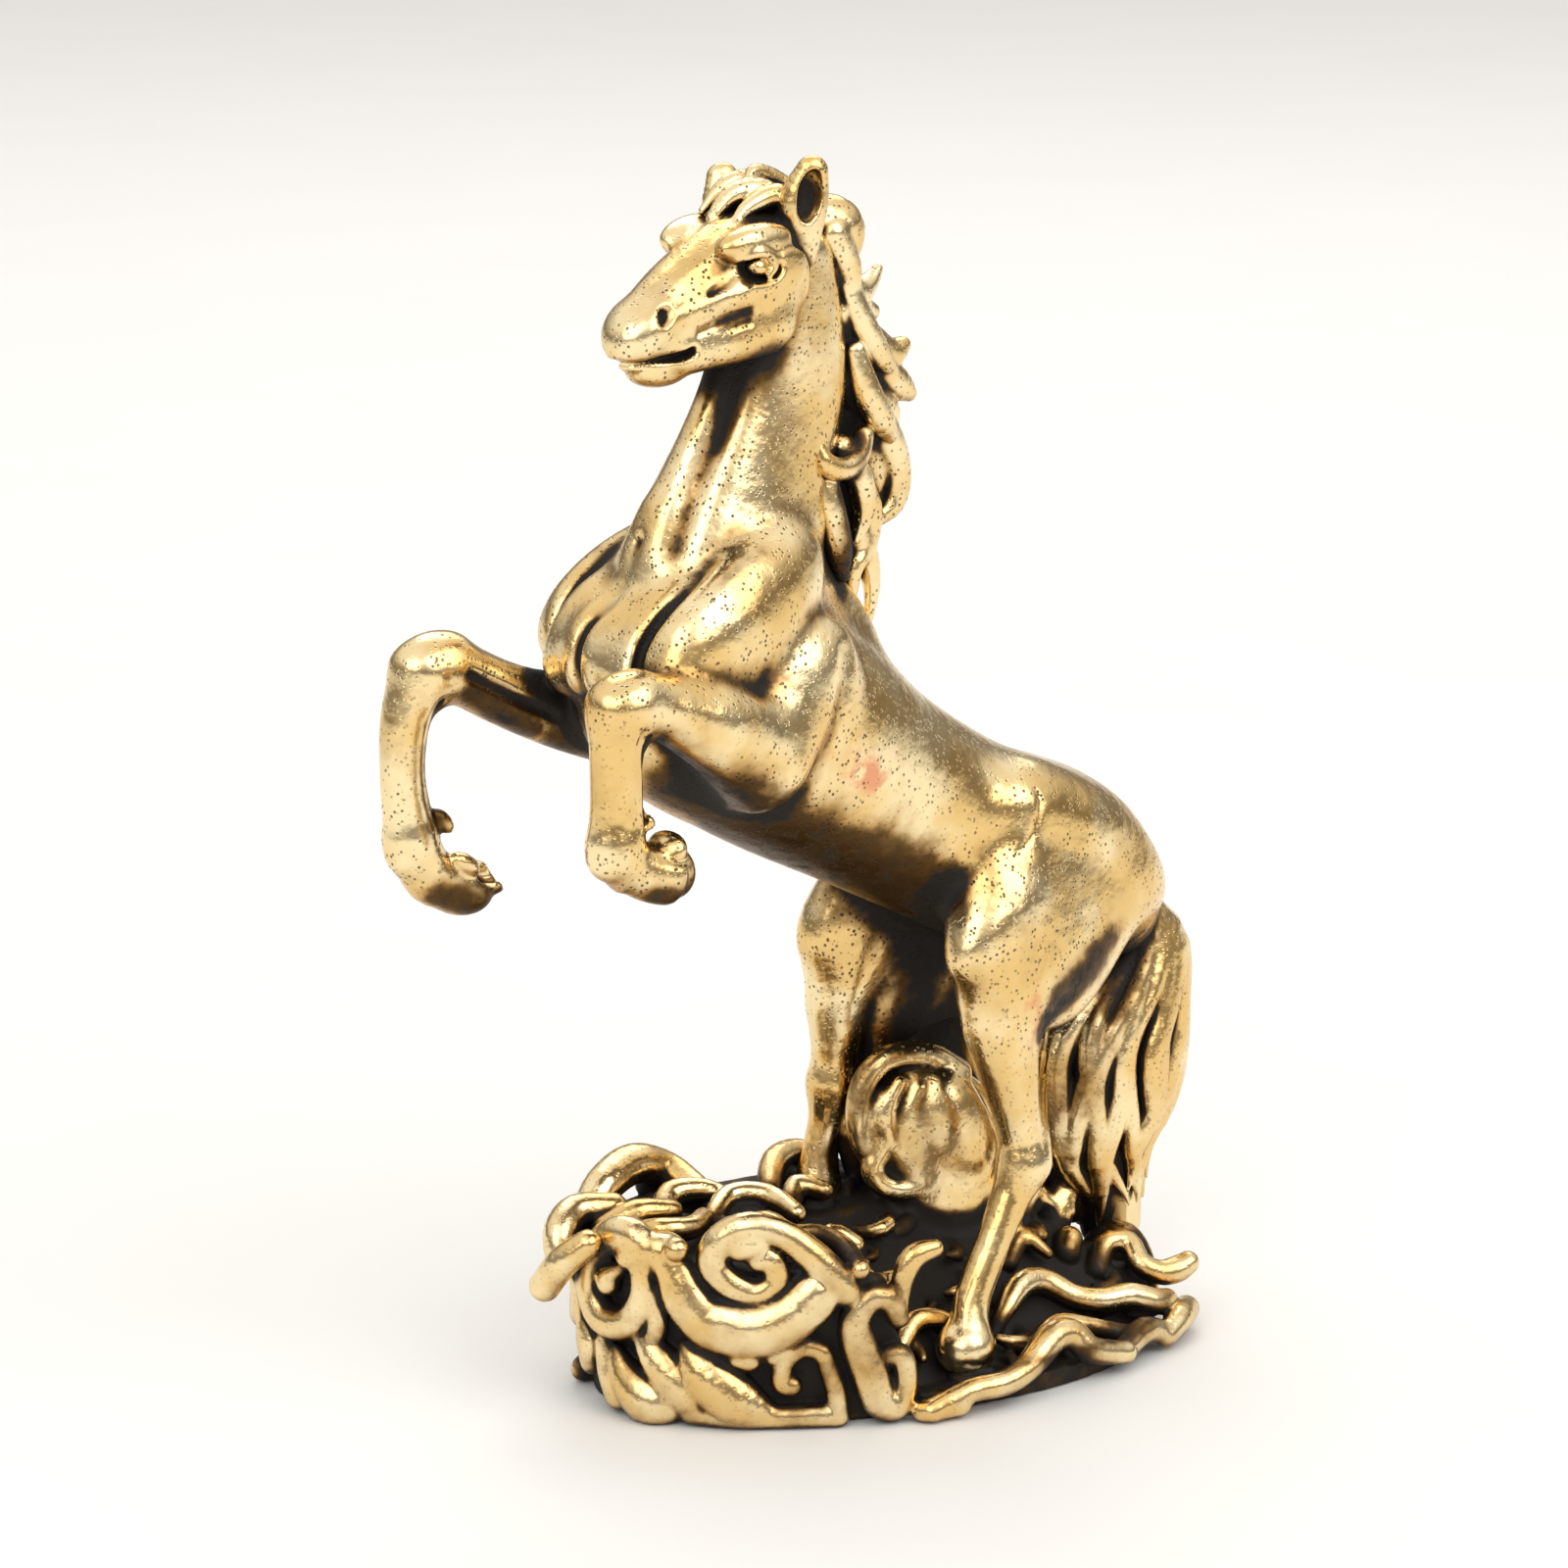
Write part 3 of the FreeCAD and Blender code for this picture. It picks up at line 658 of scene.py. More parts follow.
def skin(clay):
    """Points of the skin and, for each owner, its closed set of four-sided faces."""
    label = np.where(clay.depth < 0, clay.owner, 0)
    corners, sums, weights, faces, sides = [], [], [], [], []
    for axis in range(3):
        low = [slice(None)] * 3
        high = [slice(None)] * 3
        low[axis], high[axis] = slice(None, -1), slice(1, None)
        low, high = tuple(low), tuple(high)
        cells = np.argwhere(label[low] != label[high])
        i, j, k = cells.T
        under, over = label[low][i, j, k], label[high][i, j, k]
        a, b = clay.depth[low][i, j, k], clay.depth[high][i, j, k]
        open_edge = (under == 0) | (over == 0)
        share = np.where(open_edge, a / np.where(open_edge, a - b, 1), 0.5)
        point = cells.astype(float)
        point[:, axis] += share
        ring = []
        for du, dv in ((-1, -1), (0, -1), (0, 0), (-1, 0)):
            shift = np.zeros(3, int)
            shift[(axis + 1) % 3], shift[(axis + 2) % 3] = du, dv
            ring.append(np.ravel_multi_index((cells + shift).T, clay.size))
        corners.append(np.concatenate(ring))
        sums.append(np.tile(point, (4, 1)))
        weights.append(np.tile(np.where(open_edge, 1.0, SEAM_WEIGHT), 4))
        faces.append(np.stack(ring, axis=1))
        sides.append(np.stack([under, over], axis=1))
    cell, place = np.unique(np.concatenate(corners), return_inverse=True)
    weight, point = np.concatenate(weights), np.concatenate(sums)
    total = np.bincount(place, weight)
    points = np.stack([np.bincount(place, weight * point[:, a]) for a in range(3)], axis=1)
    points = clay.low + clay.step * points / total[:, None]
    outer = total > 0.5
    moved = points[outer]
    away = slope(clay, moved)
    off = sample(clay.depth, clay.low, clay.step, moved)
    most = LARGEST_MOVE * clay.step
    points[outer] = moved - away * np.clip(off, -most, most)[:, None]
    faces = np.searchsorted(cell, np.concatenate(faces))
    sides = np.concatenate(sides)
    return points, {owner: np.concatenate([faces[sides[:, 0] == owner],
                                           faces[sides[:, 1] == owner][:, ::-1]])
                    for owner in np.unique(sides[sides > 0])}


print("the test ball's skin is", np.linalg.norm(skin(ball)[0], axis=1).mean().round(3),
      "mm from its centre, and it should be 1")


# %% [markdown]
# The average of a field over a cube says how full the neighbourhood is. Running sums give it at
# the same cost for any size of cube, and two passes make the cube's corners count for less.

# %% Averages over small cubes
def box_blur(field, width, passes=2):
    """Field averaged over cubes of 2 * width + 1 voxels."""
    for _ in range(passes):
        for axis in range(3):
            pad = [(0, 0)] * 3
            pad[axis] = (width + 1, width)
            total = np.cumsum(np.pad(field, pad, mode="edge"), axis=axis, dtype=np.float64)
            count = field.shape[axis]
            ahead = np.take(total, range(2 * width + 1, 2 * width + 1 + count), axis=axis)
            behind = np.take(total, range(count), axis=axis)
            field = ((ahead - behind) / (2 * width + 1)).astype(np.float32)
    return field


spike = np.zeros((9, 9, 9))
spike[4, 4, 4] = 1
print("a spike of 1 is spread until it is", box_blur(spike, 1).max().round(3), "high")


# %% [markdown]
# ## The horse's body
#
# A rearing horse: deep chest, round barrel, tucked flank, strong croup. The ovals are the CAD's
# own stations, so the body keeps its size, and eggs of clay over them are the muscles that show
# through the hide. The groove behind the shoulder and the fold at the hip are cut in last.
# A limb's row is x, z, lean, depth and width, and then y where the limb isn't in the middle.

# %% Trunk and neck
TRUNK, NECK, LEFT_FORE, RIGHT_FORE, LEFT_HIND, RIGHT_HIND = range(1, 7)
BOTH = (-1, 1)
hide = Clay((-28, -9, 0.2), (19.5, 9, 60.8), 0.16)
hide.add(Limb([
    (15.8, 20.6, -50, 2.4, 2.3), (13.2, 22.6, -55, 4.2, 4.1), (9.4, 24.6, -60, 5.1, 5.0),
    (4.9, 26.8, -62, 4.9, 4.8), (-0.6, 30.0, -58, 5.2, 5.1), (-5.6, 33.4, -54, 6.0, 5.6),
    (-10.2, 36.4, -55, 6.1, 5.6), (-14.0, 38.2, -62, 4.9, 4.4), (-16.6, 39.2, -66, 2.4, 2.2)]),
    0.8, TRUNK)
hide.add(Limb([
    (-9.6, 38.2, 14, 6.3, 4.3), (-9.8, 42.4, 4, 5.5, 4.0), (-9.3, 44.8, 7, 4.9, 3.4),
    (-8.9, 46.6, 10, 4.0, 3.0), (-7.7, 50.6, 14, 3.0, 2.3), (-6.9, 53.8, 14, 2.7, 2.1),
    (-6.1, 57.0, 14, 2.3, 1.9)]), 1.6, NECK)
hide.add(Limb([
    (-6.8, 44.6, 5, 2.6, 2.0), (-5.7, 47.8, 5, 2.6, 2.0), (-5.2, 50.9, 4, 2.6, 2.0),
    (-5.3, 53.9, -4, 2.5, 1.9), (-6.0, 57.0, -8, 2.1, 1.6)]), 1.6, NECK)
print("neck and trunk stand in a block of", hide.size, "voxels")

# %% [markdown]
# Legs are limbs of bone with knobs at the joints. The left foreleg is raised and bent at the
# knee, with the cannon straight down and the hoof curled back. Tubes with spheres at the joints
# would look like a puppet's, so the joints are eggs that melt into the limbs, and shallow grooves
# beside the cannon stand for the tendons.

# %% Left foreleg
hide.add(Limb([
    (-10.6, 34.0, -60, 2.7, 2.2, -4.6), (-14.0, 36.1, -60, 2.15, 1.9, -5.5),
    (-16.8, 37.5, -60, 1.6, 1.55, -5.6), (-18.8, 38.3, -66, 1.35, 1.35, -5.6)]), 1.2, LEFT_FORE)
hide.add(Egg((-20.9, -5.5, 38.7), (-18.6, -5.5, 37.3), 1.35, 1.35), 1.4, LEFT_FORE)
hide.add(Limb([
    (-19.8, 38.2, -176, 1.4, 1.3), (-19.9, 36.2, 180, 1.35, 1.15), (-19.9, 33.6, 180, 1.35, 1.1),
    (-20.0, 32.0, 178, 1.4, 1.2)], -5.5), 1.0, LEFT_FORE)
hide.add(Egg((-20.7, -5.5, 32.2), (-19.7, -5.5, 30.1), 1.25, 1.25), 0.7, LEFT_FORE)
hide.add(Strand([(-20.0, -5.5, 31.0, 1.15), (-18.6, -5.5, 30.4, 1.1), (-18.0, -5.5, 30.2, 1.1)]),
         0.5, LEFT_FORE)
hide.add(Limb([(-19.6, 30.3, 92, 1.1, 1.1), (-18.4, 29.9, 96, 1.3, 1.35),
               (-17.2, 29.7, 100, 1.45, 1.5), (-16.8, 29.7, 100, 1.25, 1.25)], -5.5),
               0.35, LEFT_FORE)
hide.add(Egg((-17.5, -5.5, 30.4), (-16.6, -5.5, 31.6), 0.7, 1.2), 0.4, LEFT_FORE)
hide.add(Egg((-18.9, -5.9, 32.9), (-18.1, -5.6, 32.2), 0.35, 0.5), 0.5, LEFT_FORE)
hide.carve(Strand([(-19.4, -6.8, 37.4, 0.06), (-19.5, -6.75, 35.0, 0.13),
                   (-19.5, -6.75, 32.6, 0.1)]), 0.4)
hide.carve(Strand([(-20.6, -6.7, 36.8, 0.04), (-20.7, -6.6, 34.6, 0.08),
                   (-20.6, -6.6, 32.8, 0.04)]), 0.35)
hide.carve(Strand([(-18.9, -6.5, 36.8, 0.12), (-18.8, -6.0, 34.6, 0.2),
                   (-18.8, -6.0, 32.6, 0.2)]), 0.4)

print("with the left foreleg the body holds", hide.volume(), "mm3")

# %% Right foreleg
hide.add(Limb([
    (-10.0, 33.8, -66, 2.6, 2.1, 4.0), (-14.8, 34.9, -66, 1.9, 1.7, 5.0),
    (-18.6, 36.4, -62, 1.55, 1.5, 5.0), (-22.0, 38.3, -58, 1.45, 1.4, 5.0)]), 1.2, RIGHT_FORE)
hide.add(Egg((-24.6, 5.0, 38.9), (-21.4, 5.0, 38.1), 1.6, 1.4), 1.4, RIGHT_FORE)
hide.add(Limb([
    (-23.6, 38.2, -156, 1.5, 1.4), (-24.5, 36.0, -172, 1.2, 1.15), (-24.7, 33.4, 178, 1.1, 1.0),
    (-24.4, 30.8, 168, 1.25, 1.15)], 5.0), 1.0, RIGHT_FORE)
hide.add(Egg((-24.9, 5.0, 30.9), (-23.7, 5.0, 28.7), 1.3, 1.2), 0.9, RIGHT_FORE)
hide.add(Strand([(-24.1, 5.0, 29.6, 1.2), (-23.2, 5.0, 28.3, 1.35), (-22.0, 5.0, 27.7, 1.3)]),
         0.5, RIGHT_FORE)
hide.add(Egg((-23.2, 5.0, 27.7), (-19.9, 5.0, 27.0), 1.25, 1.4), 0.3, RIGHT_FORE)
hide.add(Egg((-20.9, 4.6, 28.6), (-19.6, 4.9, 27.0), 0.5, 1.1), 0.35, RIGHT_FORE)
hide.add(Egg((-23.2, 4.6, 31.6), (-22.3, 4.6, 30.4), 0.4, 0.5), 0.4, RIGHT_FORE)
hide.add(Egg((-22.6, 4.0, 29.4), (-21.2, 4.0, 28.4), 0.45, 0.6), 0.3, RIGHT_FORE)
hide.carve(Strand([(-23.2, 3.9, 37.2, 0.1), (-23.7, 3.95, 35.0, 0.16),
                   (-23.6, 3.95, 32.4, 0.16)]), 0.4)
hide.carve(Strand([(-21.8, 3.6, 38.2, 0.1), (-19.4, 3.6, 36.8, 0.14),
                   (-17.0, 3.5, 35.4, 0.12)]), 0.5)

print("with the right foreleg the body holds", hide.volume(), "mm3")

# %% [markdown]
# The hind legs carry the horse. Both are oval all the way down: wide at the thigh, narrow above
# the hock, and thin at the cannon, which slants forward to the hoof. The left hoof stands low on
# the base, and the right one higher, in the cloud.

# %% Left hind leg
hide.add(Limb([
    (9.6, 26.4, -128, 4.6, 2.4, -2.6), (6.0, 22.6, -148, 4.0, 2.5, -4.2),
    (3.8, 18.8, -172, 2.35, 1.85, -5.0), (4.0, 15.3, 176, 1.5, 1.35, -5.5),
    (4.5, 12.8, 172, 1.12, 1.05, -5.7), (4.8, 11.0, 172, 1.05, 0.95, -5.8)]), 1.4, LEFT_HIND)
hide.add(Egg((5.9, -5.8, 12.6), (4.6, -5.8, 9.8), 0.8, 0.8), 0.8, LEFT_HIND)
hide.carve(Strand([(5.2, -7.0, 15.6, 0.06), (5.3, -6.9, 13.4, 0.12), (5.3, -6.8, 11.6, 0.06)]), 0.4)
hide.add(Limb([(4.6, 10.8, -156, 1.15, 1.05, -5.8), (2.8, 7.6, -153, 0.9, 0.88, -6.0),
               (1.2, 4.9, -155, 0.92, 0.9, -6.2), (0.7, 3.6, -160, 1.05, 1.0, -6.5)]),
         1.2, LEFT_HIND)
hide.add(Egg((0.5, -6.6, 3.9), (0.2, -6.7, 0.9), 1.55, 1.5), 0.3, LEFT_HIND)

print("with the left hind leg the body holds", hide.volume(), "mm3")

# %% Right hind leg
hide.add(Limb([
    (6.6, 26.0, -140, 4.0, 2.2, 2.8), (2.6, 21.4, -160, 2.7, 2.1, 4.3),
    (1.2, 18.0, 180, 1.8, 1.6, 4.6), (1.1, 15.6, 180, 1.35, 1.25, 4.7),
    (1.1, 13.4, 178, 1.2, 1.1, 4.8)]), 1.4, RIGHT_HIND)
hide.add(Egg((1.5, 4.8, 14.2), (1.0, 4.8, 11.6), 1.2, 1.0), 1.2, RIGHT_HIND)
hide.add(Limb([(1.2, 13.0, -170, 1.05, 1.0, 4.8), (0.6, 10.6, -170, 0.92, 0.9, 5.0),
               (0.3, 9.2, -175, 1.0, 0.95, 5.0), (0.1, 7.2, 180, 1.4, 1.4, 5.0)]), 1.2, RIGHT_HIND)
print("with the right hind leg the body holds", hide.volume(), "mm3")

# %% [markdown]
# Muscles are what make a horse of a set of tubes. Each is one egg with a wide blend: withers,
# back, flank, croup, breast, shoulder and elbow in pairs, then the stifles and the thighs. They
# could be pulled out of a mesh by hand, but an egg is easy to move and keeps both sides equal.

# %% Muscles
hide.add(Egg((-7.4, 0, 43.4), (-0.6, 0, 36.8), 1.6, 1.2), 1.5, TRUNK)
for s in BOTH:
    hide.add(Egg((14.6, 1.9 * s, 25.2), (5.0, 2.5 * s, 29.3), 2.0, 2.6), 1.5, TRUNK)
    hide.add(Egg((3.6, 3.2 * s, 29.2), (7.6, 3.4 * s, 27.8), 1.6, 1.6), 2.0, TRUNK)
    hide.add(Egg((16.4, 1.5 * s, 21.6), (11.6, 2.6 * s, 24.6), 2.2, 2.2), 1.5, TRUNK)
    hide.add(Egg((-17.6, 2.3 * s, 37.0), (-13.0, 2.7 * s, 42.2), 2.1, 2.3), 1.0, TRUNK)
    hide.add(Egg((-6.4, 2.9 * s, 43.4), (-16.6, 5.0 * s, 38.4), 3.0, 1.9), 1.0, TRUNK)
    hide.add(Egg((-5.9, 4.3 * s, 39.6), (-11.6, 5.1 * s, 33.2), 2.7, 1.5), 1.0, TRUNK)
    hide.add(Egg((-9.2, 5.0 * s, 34.8), (-11.6, 5.7 * s, 32.8), 1.2, 1.2), 0.8, TRUNK)
hide.add(Egg((-16.6, 0, 36.2), (-10.8, 0, 31.3), 1.5, 2.0), 1.4, TRUNK)
hide.add(Egg((5.2, -4.6, 26.0), (0.6, -5.6, 21.4), 1.7, 1.5), 2.2, LEFT_HIND)
hide.add(Egg((3.6, 3.8, 25.0), (-0.6, 4.7, 20.6), 1.5, 1.4), 2.2, RIGHT_HIND)
hide.add(Egg((13.2, -3.0, 24.6), (6.6, -5.0, 17.6), 2.3, 1.6), 2.2, LEFT_HIND)
hide.add(Egg((10.4, 3.0, 24.0), (5.4, 4.2, 14.6), 3.0, 1.4), 1.5, RIGHT_HIND)
hide.add(Egg((11.6, 3.2, 25.0), (5.6, 4.6, 19.0), 2.2, 1.6), 2.2, RIGHT_HIND)
hide.add(Egg((6.2, 3.4, 24.0), (5.0, 4.2, 11.0), 2.9, 1.2), 1.0, RIGHT_HIND)
print("with its muscles the body holds", hide.volume(), "mm3")

# %% [markdown]
# Creases come last, because clay pressed on later would fill them: the line behind the shoulder,
# the fold at the hip, two furrows down the neck, the cut of the breast, and small cuts at the
# hooves. Each is a thin strand carved out with a wide soft lip.

# %% Creases
for s in BOTH:
    hide.carve(Strand([(-6.2, 5.7 * s, 38.6, 0.2), (-6.9, 6.1 * s, 36.8, 0.26),
                       (-7.7, 6.3 * s, 34.6, 0.26), (-9.3, 6.1 * s, 32.4, 0.2)]), 0.9)
    hide.carve(Strand([(5.9, 4.7 * s, 30.4, 0.04), (6.0, 5.2 * s, 29.0, 0.09),
                       (5.2, 5.5 * s, 27.6, 0.08), (4.2, 5.6 * s, 26.9, 0.04)]), 0.18)
    hide.carve(Strand([(-9.9, 1.5 * s, 52.6, 0.1), (-10.7, 1.4 * s, 50.0, 0.22),
                       (-12.5, 1.6 * s, 46.8, 0.2), (-14.0, 2.0 * s, 44.2, 0.1)]), 1.3)
    hide.carve(Strand([(-12.9, 3.5 * s, 44.4, 0.05), (-14.9, 3.5 * s, 42.2, 0.2),
                       (-16.8, 3.4 * s, 40.0, 0.14), (-17.4, 3.6 * s, 37.8, 0.1)]), 0.9)
hide.carve(Strand([(-14.6, 0.0, 44.2, 0.06), (-17.0, 0.0, 41.2, 0.2), (-18.2, 0.0, 38.4, 0.2),
                   (-17.4, 0.0, 35.8, 0.14)]), 0.9)
for s in BOTH:
    hide.carve(Strand([(-17.4, 1.7 * s, 41.4, 0.03), (-18.6, 1.6 * s, 39.4, 0.08),
                       (-18.4, 1.7 * s, 37.4, 0.05)]), 0.4)
hide.carve(Strand([(-18.3, -5.5, 32.6, 0.3), (-17.9, -5.5, 32.2, 0.3)]), 0.3)
hide.carve(Strand([(-18.2, -6.6, 30.9, 0.06), (-17.2, -6.7, 30.5, 0.14),
                   (-16.4, -6.5, 30.6, 0.1)]), 0.2)
hide.carve(Egg((-21.6, 4.4, 28.2), (-19.2, 4.4, 27.6), 0.5, 0.6), 0.25)
hide.carve(Strand([(1.9, -8.2, 3.75, 0.13), (0.3, -8.4, 3.5, 0.13), (-1.4, -7.2, 3.4, 0.13)]), 0.3)
print("body clay holds", hide.volume(), "mm3 of brass")


# %% [markdown]
# ## The head
#
# The head is small and carries the most detail, so it gets its own clay with finer voxels. It is
# sculpted facing straight ahead, which keeps both sides equal, and then turned a little.

# %% Head clay
HEAD, LEFT_EAR, RIGHT_EAR, FORELOCK = range(1, 5)
HEAD_TURN = math.radians(10)
POLL = np.array([-6.5, 0, 0])
head = Clay((-19.2, -4.4, 50.4), (-2.6, 4.4, 63.0), 0.09)
head.add(Limb([
    (-5.2, 56.6, -106, 2.4, 2.0), (-7.2, 56.3, -106, 3.0, 2.3), (-9.4, 55.9, -106, 3.0, 2.4),
    (-11.8, 55.1, -106, 2.55, 2.0), (-13.9, 54.35, -106, 2.1, 1.6),
    (-15.4, 53.95, -106, 1.65, 1.4),
    (-16.4, 53.8, -106, 1.15, 1.15)]), 0.8, HEAD)
head.add(Egg((-9.6, 0, 58.3), (-16.2, 0, 55.3), 0.8, 1.25), 1.2, HEAD)
head.add(Egg((-15.4, 0, 55.0), (-17.2, 0, 53.8), 0.85, 1.1), 1.0, HEAD)
for s in BOTH:
    head.add(Egg((-8.6, 1.4 * s, 55.9), (-8.5, 2.45 * s, 55.4), 2.3, 2.2), 1.0, HEAD)
    head.add(Egg((-12.2, 1.8 * s, 58.0), (-8.0, 2.2 * s, 58.3), 0.85, 0.85), 0.7, HEAD)
    head.add(Strand([(-8.2, 2.2 * s, 56.5, 0.35), (-11.0, 2.2 * s, 56.1, 0.45),
                     (-12.8, 1.8 * s, 55.6, 0.4), (-14.3, 1.4 * s, 55.2, 0.3)]), 1.2, HEAD)
    head.add(Egg((-14.8, 1.1 * s, 55.3), (-16.6, 0.9 * s, 54.2), 0.72, 0.6), 0.8, HEAD)
    head.add(Strand([(-13.9, 1.0 * s, 53.2, 0.75), (-11.4, 1.5 * s, 53.6, 1.0),
                     (-8.8, 1.7 * s, 54.0, 1.2)]), 1.2, HEAD)
head.add(Egg((-16.3, 0, 52.55), (-13.2, 0, 52.3), 0.7, 1.05), 0.5, HEAD)
print("the head's masses hold", head.volume(), "mm3")

# %% [markdown]
# The face is cut into the masses: first the space between the jaws, then on each side the socket
# with its eye, brow and lid, the nostril, the slit of the mouth, and the curved groove behind the
# cheek. A cut of a fifth of a millimetre is enough, because the dark in it does the rest.

# %% Eyes, nostrils, mouth and cheek
head.carve(Egg((-13.0, 0, 51.7), (-8.4, 0, 52.6), 0.8, 0.75), 0.6)
for s in BOTH:
    head.carve(Egg((-11.6, 2.7 * s, 57.1), (-9.2, 2.95 * s, 57.0), 0.7, 0.85), 0.3)
    head.add(Egg((-10.85, 2.25 * s, 57.15), (-9.75, 2.4 * s, 56.95), 0.42, 0.55), 0.1, HEAD)
    head.add(Strand([(-11.4, 2.35 * s, 57.5, 0.12), (-10.4, 2.75 * s, 57.75, 0.2),
                     (-9.3, 2.8 * s, 57.3, 0.14)]), 0.3, HEAD)
    head.add(Strand([(-9.9, 2.75 * s, 57.6, 0.16), (-9.6, 2.85 * s, 57.1, 0.2),
                     (-9.9, 2.75 * s, 56.6, 0.14)]), 0.2, HEAD)
    head.carve(Strand([(-11.4, 2.5 * s, 57.2, 0.14), (-12.2, 2.25 * s, 56.6, 0.2),
                       (-13.0, 1.95 * s, 56.1, 0.08)]), 0.3)
    head.carve(Strand([(-14.93, 1.6 * s, 55.8, 0.1), (-14.3, 1.75 * s, 56.3, 0.16),
                       (-13.8, 1.8 * s, 56.7, 0.08)]), 0.2)
    head.carve(Egg((-15.9, 1.6 * s, 54.9), (-15.3, 1.65 * s, 55.7), 0.3, 0.55), 0.25)
    head.carve(Strand([(-14.0, 1.75 * s, 53.5, 0.2), (-14.6, 1.65 * s, 53.3, 0.24),
                       (-15.5, 1.4 * s, 53.2, 0.22), (-16.5, 1.0 * s, 53.1, 0.2),
                       (-17.3, 0.2 * s, 53.05, 0.2)], flat=(0, 1, 0), squash=0.35), 0.25)
    head.carve(Strand([(-7.7, 2.5 * s, 57.9, 0.06), (-6.5, 2.5 * s, 56.6, 0.2),
                       (-6.2, 2.4 * s, 55.0, 0.25), (-7.0, 2.45 * s, 53.7, 0.24),
                       (-8.2, 2.4 * s, 53.1, 0.2)]), 0.5)
    head.carve(Strand([(-13.7, 1.9 * s, 54.4, 0.03), (-12.5, 2.3 * s, 54.8, 0.05),
                       (-11.0, 2.65 * s, 55.1, 0.06)]), 0.35)
    head.carve(Strand([(-12.0, 2.35 * s, 54.4, 0.03), (-11.0, 2.6 * s, 54.6, 0.06)]), 0.3)
print("after carving it holds", head.volume(), "mm3")

# %% [markdown]
# An ear is a flattened strand that narrows to its tip, hollowed with an egg. The forelock is four
# short strands between the ears, with hardly any blend, so that the gaps between them stay.

# %% Ears and forelock
for owner, s, tip, rear, front in (
        (LEFT_EAR, -1, (-6.3, -2.2, 61.0), (-5.3, -1.9, 59.0), (-7.7, -1.8, 60.1)),
        (RIGHT_EAR, 1, (-7.7, 2.2, 60.4), (-6.3, 2.0, 59.0), (-9.1, 2.0, 59.1))):
    foot = (-6.6, 1.7 * s, 57.8) if s < 0 else (-7.4, 1.7 * s, 57.8)
    middle = tuple((a + b) / 2 for a, b in zip(rear, front))
    head.add(Strand([(*foot, 1.0), (*middle, 1.2), (*tip, 0.8)], flat=(0.5, 0.85, 0),
                    squash=1.4), 0.5, owner)
    head.carve(Egg((middle[0] - 0.5, middle[1] + 0.8 * s, middle[2] - 0.9),
                   (tip[0] - 0.2, tip[1] + 0.4 * s, tip[2] + 0.2), 0.6, 0.9), 0.15)
for lock in (
        [(-6.2, 0.0, 59.2, 0.8), (-7.6, 0.1, 60.0, 0.7), (-9.0, 0.5, 59.9, 0.5),
         (-10.2, 0.6, 59.0, 0.25)],
        [(-5.6, 0.5, 59.2, 0.8), (-7.0, 0.9, 60.3, 0.6), (-8.4, 1.3, 60.3, 0.45),
         (-9.7, 1.6, 59.2, 0.2)],
        [(-5.6, -0.7, 59.0, 0.8), (-7.2, -0.8, 59.9, 0.55), (-8.8, -0.5, 59.5, 0.4),
         (-9.9, -0.5, 58.8, 0.18)],
        [(-4.6, 0.3, 59.0, 0.9), (-6.0, 0.6, 60.3, 0.6), (-7.3, 0.5, 60.9, 0.35),
         (-8.0, 0.3, 60.7, 0.15)]):
    head.add(Strand(lock), 0.15, FORELOCK)
print("head clay:", head.size, "voxels")


# %% [markdown]
# ## Mane and tail
#
# Hair on a small casting is a few thick locks with deep gaps, which the patina fills. Particle
# hair would be far too fine. Each lock is a wire laid through a few marks, which tapers to a
# point. Locks on the left side are repeated on the right, a little lower.

